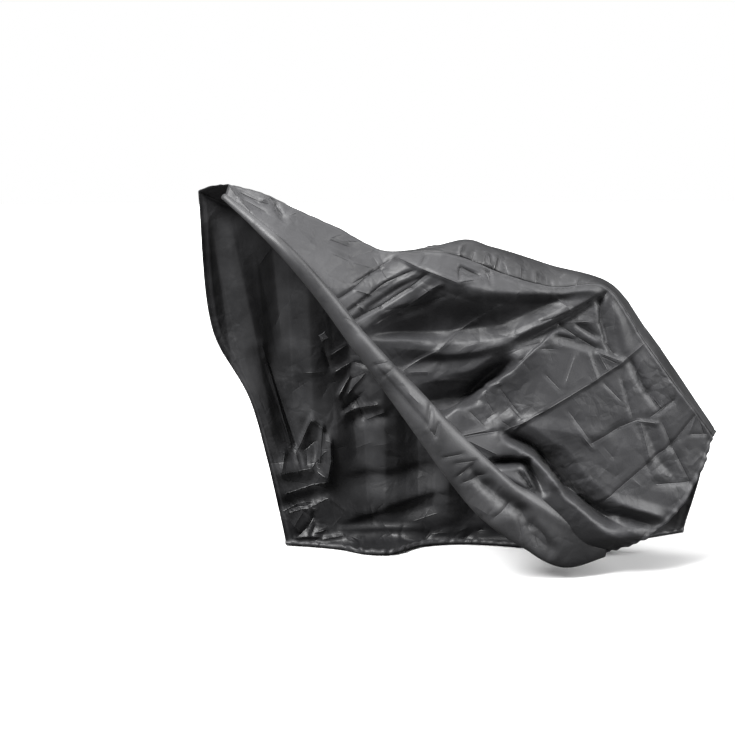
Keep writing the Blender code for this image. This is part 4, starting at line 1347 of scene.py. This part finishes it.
def floor_hem(points):
    """
    The hem at the floor: the cloth goes up and back over itself in an oval tube, gathered along its length.
    Around it the cloth goes on by wide sin turn and rises by tall (1 - cos turn).
    """
    hem = points[:, -1]
    ahead = hem - points[:, -4]
    ahead[:, 2] = 0
    ahead = unit(ahead)
    fuller = 1 + TUBE_UNEVEN * uneven(run_along(hem), GATHER_PITCH, 3)
    turn = np.linspace(0, TUBE_TURN, TUBE_LINES + 1)[1:]
    onward = ahead[:, None] * (TUBE_WIDE * np.sin(turn) * fuller[:, None])[..., None]
    upward = np.array((0, 0, 1.0)) * (TUBE_TALL * (1 - np.cos(turn)) * fuller[:, None])[..., None]
    return hem[:, None] + onward + upward


print("the tube at the floor is", round(2000 * TUBE_WIDE), "mm wide and", round(2000 * TUBE_TALL), "mm tall")

# %% [markdown]
# ## The far panel
#
# The far panel hangs from the far seam to the floor and turns in along it. Cloth could be dropped on a
# floor in a simulation, but then its foot would lie wherever chance puts it. So each station is a smooth
# curve through five places, and the folds and creases are added square to it, as on the near side.
# %% The far panel
FAR_STATIONS = 340
FALL_LINES = 132
FALLS_BY_SEAM = (0, 0.004, 0.008, 0.014, 0.022)         # the grid's first lines lie close together
FALL_KNOTS = np.array((0.0, 0.30, 0.60, 0.88, 1.0))     # shares of the fall: seam, two places, fold and hem
FAR_GATHERS = 0.0014
FAR_HEM_WIDE = 0.024
FAR_FOLD_FADE = (0.10, 0.16)    # shares of the fall over which folds die out, at the seam and at the hem
FAR_CREASE_FADE = (0.05, 0.03)  # and creases
FAR_HEM_FADE = (0.02, 0.02)     # and the hems at the front and the tail


def far_side():
    """
    The far panel: down each station a smooth curve from the far seam through two places of the fall to the
    fold at the floor, and on along the floor to the hem.
    """
    station = np.linspace(0, 1, FAR_STATIONS)
    evenly = np.linspace(FALLS_BY_SEAM[-1], 1, FALL_LINES - len(FALLS_BY_SEAM) + 1)
    fall = np.append(FALLS_BY_SEAM[:-1], evenly)
    stops = [line(SEAMS, station, "far_x far_y far_z")]
    for name in ("upper", "lower", "fold", "hem"):
        stops.append(line(FALLS, station, f"{name}_x {name}_y {name}_z"))
    points = smooth(fall, FALL_KNOTS, np.stack(stops)).transpose(1, 0, 2)
    height = fold_height(FAR_FOLDS, points[..., 0], points[..., 2])
    points = lifted(points, 1, height * edge_fade(fall, *FAR_FOLD_FADE))
    x, z = points[..., 0], points[..., 2]
    crease = fold_height(FAR_CREASES, x, z, sharp=True)
    crease += sum(fold_height(zone, x, z, sharp=True) for zone in FAR_STREWN)
    points = lifted(points, 1, crease * edge_fade(fall, *FAR_CREASE_FADE))
    points = points + seam_rise(station, "far", length_down(points))
    for at_end in (False, True):
        hem = hem_rise(points, at_end, FAR_GATHERS, wide=FAR_HEM_WIDE, seed=4)
        points = lifted(points, 1, hem * edge_fade(fall, *FAR_HEM_FADE))
    points[..., 2] = np.maximum(points[..., 2], FALLS["hem_z"].min())
    return np.concatenate([points, floor_hem(points)], axis=1)


points = far_side()
print("the far side's lowest place is", round(1000 * points[..., 2].min(), 1), "mm above the floor")

# %% [markdown]
# ## The far side's inside
#
# What the camera sees of this side is its coated inside. It gets painted light all over, a painted shadow
# by the floor, and more painted light at the tail, where light falls in. A second material could carry that,
# but the painted_lighting attribute already does, so it only gets other values here.
# %% The far side
FAR_PAINTED_LIGHT = 0.35              # painted light on the inside's flat cloth
FAR_RIDGE_HIGHLIGHT = 0.3
FLOOR_PAINTED_SHADOW = -0.85
SHADOW_HEIGHTS = (0.0, 0.20)      # heights between which the painted shadow by the floor dies out
BEFORE_TAIL = (0.65, 0.85)  # places on X between which it dies out too
TAIL_PAINTED_LIGHT = (0.95, 1.00)     # places on X between which the tail gets painted light

face = outward(points, 1)
x, z = points[..., 0], points[..., 2]
# a mask for the painted shadow by the floor, fading towards the tail
floor_shadow = np.interp(z, SHADOW_HEIGHTS, (1, 0)) * np.interp(x, BEFORE_TAIL, (1, 0))
# painted light all over the inside, and painted highlights on ridges
painted_lighting = FAR_PAINTED_LIGHT + FAR_RIDGE_HIGHLIGHT * painted_ridge_highlight(points, face)
# painted shadow by the floor, and painted light at the tail
painted_lighting += FLOOR_PAINTED_SHADOW * floor_shadow + np.interp(x, TAIL_PAINTED_LIGHT, (0, 1))
creases = crease_lines(joined(FAR_CREASES, *FAR_STREWN), x, z)
far = cloth_object("far_side_cloth", points, 1, creases, painted_lighting)
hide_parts("far_side_panel")
# rows lie beside the seam, on the front hem's inside, and beside the hem at the tail
far_rows = [laid_on(points[:, 3], face[:, 3]),
            laid_on(points[4, :FALL_LINES], -face[4, :FALL_LINES]),
            laid_on(points[-5, :FALL_LINES], face[-5, :FALL_LINES])]
far_thread = stitches("far_stitching", far_rows, THREAD_FINISH)

# %% [markdown]
# ## The reinforcing patch
#
# A small square of ribbed grey webbing is sewn to the far panel's inside. Its corners reach out further
# than its sides, and one row of stitches runs round it with two more from corner to corner. It could be a
# flat plate, but the cloth below it is never flat, so the square is laid on the panel's own points and
# follows them.
# %% Places on the patch
PATCH_SIDE = 0.024
PATCH_TURN = math.radians(30)
PATCH_PLACE = (-0.070, 0.702)
PATCH_WAIST = 0.14      # share by which the sides are drawn in at their middles
PATCH_LIFT = 0.0014
PATCH_SEAM = 0.38       # the stitches' distance from its middle, as a share of its side
SEAM_STEPS = 30
BLEND = 0.006           # how far the panel's points are felt


def around_patch(cloth):
    """The points of a grid that lie within two sides of the patch's place."""
    flat = cloth.reshape(-1, 3)
    away = np.hypot(flat[:, 0] - PATCH_PLACE[0], flat[:, 2] - PATCH_PLACE[1])
    return flat[away < 2 * PATCH_SIDE]


def far_inside(x, z, lift):
    """
    Places on the far panel's inside: the mean depth of its points, each weighing exp(-(away / blend)^2).
    """
    away = np.hypot(BEHIND_PATCH[:, 0] - x[..., None], BEHIND_PATCH[:, 2] - z[..., None])
    weight = bell(away, 0, BLEND)
    y = np.sum(weight * BEHIND_PATCH[:, 1], axis=-1) / np.sum(weight, axis=-1)
    return np.stack([x, y - lift, z], axis=-1)


def on_patch(u, v, lift):
    """
    A place on the patch: u and v run from -0.5 to 0.5, x = u (1 - waist (1 - 4 v v)), z the same with u and
    v.
    """
    across = PATCH_SIDE * u * (1 - PATCH_WAIST * (1 - 4 * v * v))
    upward = PATCH_SIDE * v * (1 - PATCH_WAIST * (1 - 4 * u * u))
    x = PATCH_PLACE[0] + across * math.cos(PATCH_TURN) - upward * math.sin(PATCH_TURN)
    z = PATCH_PLACE[1] + across * math.sin(PATCH_TURN) + upward * math.cos(PATCH_TURN)
    return far_inside(x, z, lift)


def patch_seams():
    """The paths of its stitches: round the square, then from corner to corner."""
    step = np.linspace(-1, 1, SEAM_STEPS)
    one = np.ones(SEAM_STEPS)
    lift = PATCH_LIFT + CLOTH / 2 + THREAD
    runs = [(step, -one), (one, step), (-step, one), (-one, -step), (step, step), (step, -step)]
    paths = [on_patch(PATCH_SEAM * u, PATCH_SEAM * v, lift) for u, v in runs]
    return [(path, np.tile((0.0, -1.0, 0.0), (SEAM_STEPS, 1))) for path in paths]


BEHIND_PATCH = around_patch(points)
print("the patch is laid on", len(BEHIND_PATCH), "points of the far panel")

# %% [markdown]
# ## Ribbed webbing
#
# Webbing is woven with thick ribs, here about a dozen across the patch. They could be bump, but their edge
# shows where the patch stands off the cloth, so they are in the mesh, as a sine wave over the square.
# Webbing and thread are grey, and are made by the same recipe as the cloth.
# %% The reinforcing patch
PATCH_LINES = 49
RIB_PITCH = 0.0019
RIB_RISE = 0.00016
WEBBING = cloth_finish("grey webbing", dark=(0.085, 0.085, 0.090), light=(0.150, 0.150, 0.156),
                       rough=0.60, sheen=0.10, crumple=0.3)
PATCH_THREAD = cloth_finish("grey thread", dark=(0.150, 0.150, 0.155), light=(0.200, 0.200, 0.205),
                            rough=0.50, sheen=0.10, crumple=0.0)

share = np.linspace(-0.5, 0.5, PATCH_LINES)
u, v = np.meshgrid(share, share, indexing="ij")
square = on_patch(u, v, PATCH_LIFT + RIB_RISE * np.sin(math.tau * v * PATCH_SIDE / RIB_PITCH))
no_creases = np.zeros((LINE_LAYERS, *u.shape, 3))
patch = cloth_object("patch_webbing", square, -1, no_creases, np.ones(u.shape), finishes=(WEBBING, WEBBING))
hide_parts("reinforcing_patch")
patch_thread = stitches("patch_stitching", patch_seams(), PATCH_THREAD)

# %% [markdown]
# ## The lights
#
# Four broad lights come from high and low at the front left, from the right and from above. Lamps with a
# size of their own fall off with distance, so sun lamps with a wide angle are used: they light the whole
# cover evenly.
# %% The lights
def broad_light(name, comes_from, spread, strength):
    """A light that comes evenly from one part of the sky, spread over that many degrees."""
    lamp = bpy.data.lights.new(name, "SUN")
    lamp.angle = math.radians(spread)
    lamp.energy = strength
    item = bpy.data.objects.new(name, lamp)
    bpy.context.scene.collection.objects.link(item)
    item.rotation_euler = Vector(comes_from).to_track_quat("Z", "Y").to_euler()


broad_light("key", (-0.80, -0.60, 1.00), 25, 6.3)
broad_light("side", (0.90, -0.40, 0.55), 40, 3.4)
broad_light("top", (-0.10, 0.10, 1.00), 80, 2.4)
broad_light("low", (-0.90, -0.70, 0.10), 60, 0.25)
print(len(bpy.data.lights), "lights")

# %% [markdown]
# ## The studio
#
# The cover stands on a pale floor in a pale room. Plain white ones would fill the hollows of its folds with
# light. These look white to the camera but light the cloth only weakly, which keeps the hollows dark.
# %% A pale floor in a pale room
FLOOR_REACH = 40
FLOOR_SEEN = 0.90
FLOOR_BOUNCE = 0.06
ROOM_SEEN = 1.0
ROOM_LIGHT = 0.04


def seen_or_lighting(tree, lighting, seen):
    """A value that is seen where the eye meets the surface, and lighting where light only bounces off it."""
    ray = tree.nodes.new("ShaderNodeLightPath").outputs["Is Camera Ray"]
    value = tree.nodes.new("ShaderNodeMapRange")
    value.inputs["To Min"].default_value = lighting
    value.inputs["To Max"].default_value = seen
    tree.links.new(ray, value.inputs["Value"])
    return value.outputs[0]


def pale_floor():
    """A wide flat floor that looks white, but lights the cloth as weakly as a dark one."""
    corners = [(FLOOR_REACH * x, FLOOR_REACH * y, 0) for x, y in ((-1, -1), (1, -1), (1, 1), (-1, 1))]
    mesh = bpy.data.meshes.new("floor")
    mesh.from_pydata(corners, [], [(0, 1, 2, 3)])
    pale = bpy.data.materials.new("pale floor")
    tree, shader, _ = nodes_of(pale)
    tree.links.new(seen_or_lighting(tree, FLOOR_BOUNCE, FLOOR_SEEN), shader.inputs["Base Color"])
    shader.inputs["Roughness"].default_value = 0.9
    shader.inputs["Specular IOR Level"].default_value = 0.0
    mesh.materials.append(pale)
    floor = bpy.data.objects.new("floor", mesh)
    bpy.context.scene.collection.objects.link(floor)


def pale_room():
    """A white surround, which lights the cloth as weakly as the floor does."""
    world = bpy.data.worlds.new("studio")
    bpy.context.scene.world = world
    world.use_nodes = True
    back = world.node_tree.nodes["Background"]
    back.inputs["Color"].default_value = (1.0, 1.0, 1.0, 1.0)
    strength = seen_or_lighting(world.node_tree, ROOM_LIGHT, ROOM_SEEN)
    world.node_tree.links.new(strength, back.inputs["Strength"])
    bpy.context.scene.view_settings.view_transform = "Standard"


pale_floor()
pale_room()
print("floor and room look", FLOOR_SEEN, ROOM_SEEN, "and light the cloth as", FLOOR_BOUNCE, ROOM_LIGHT)
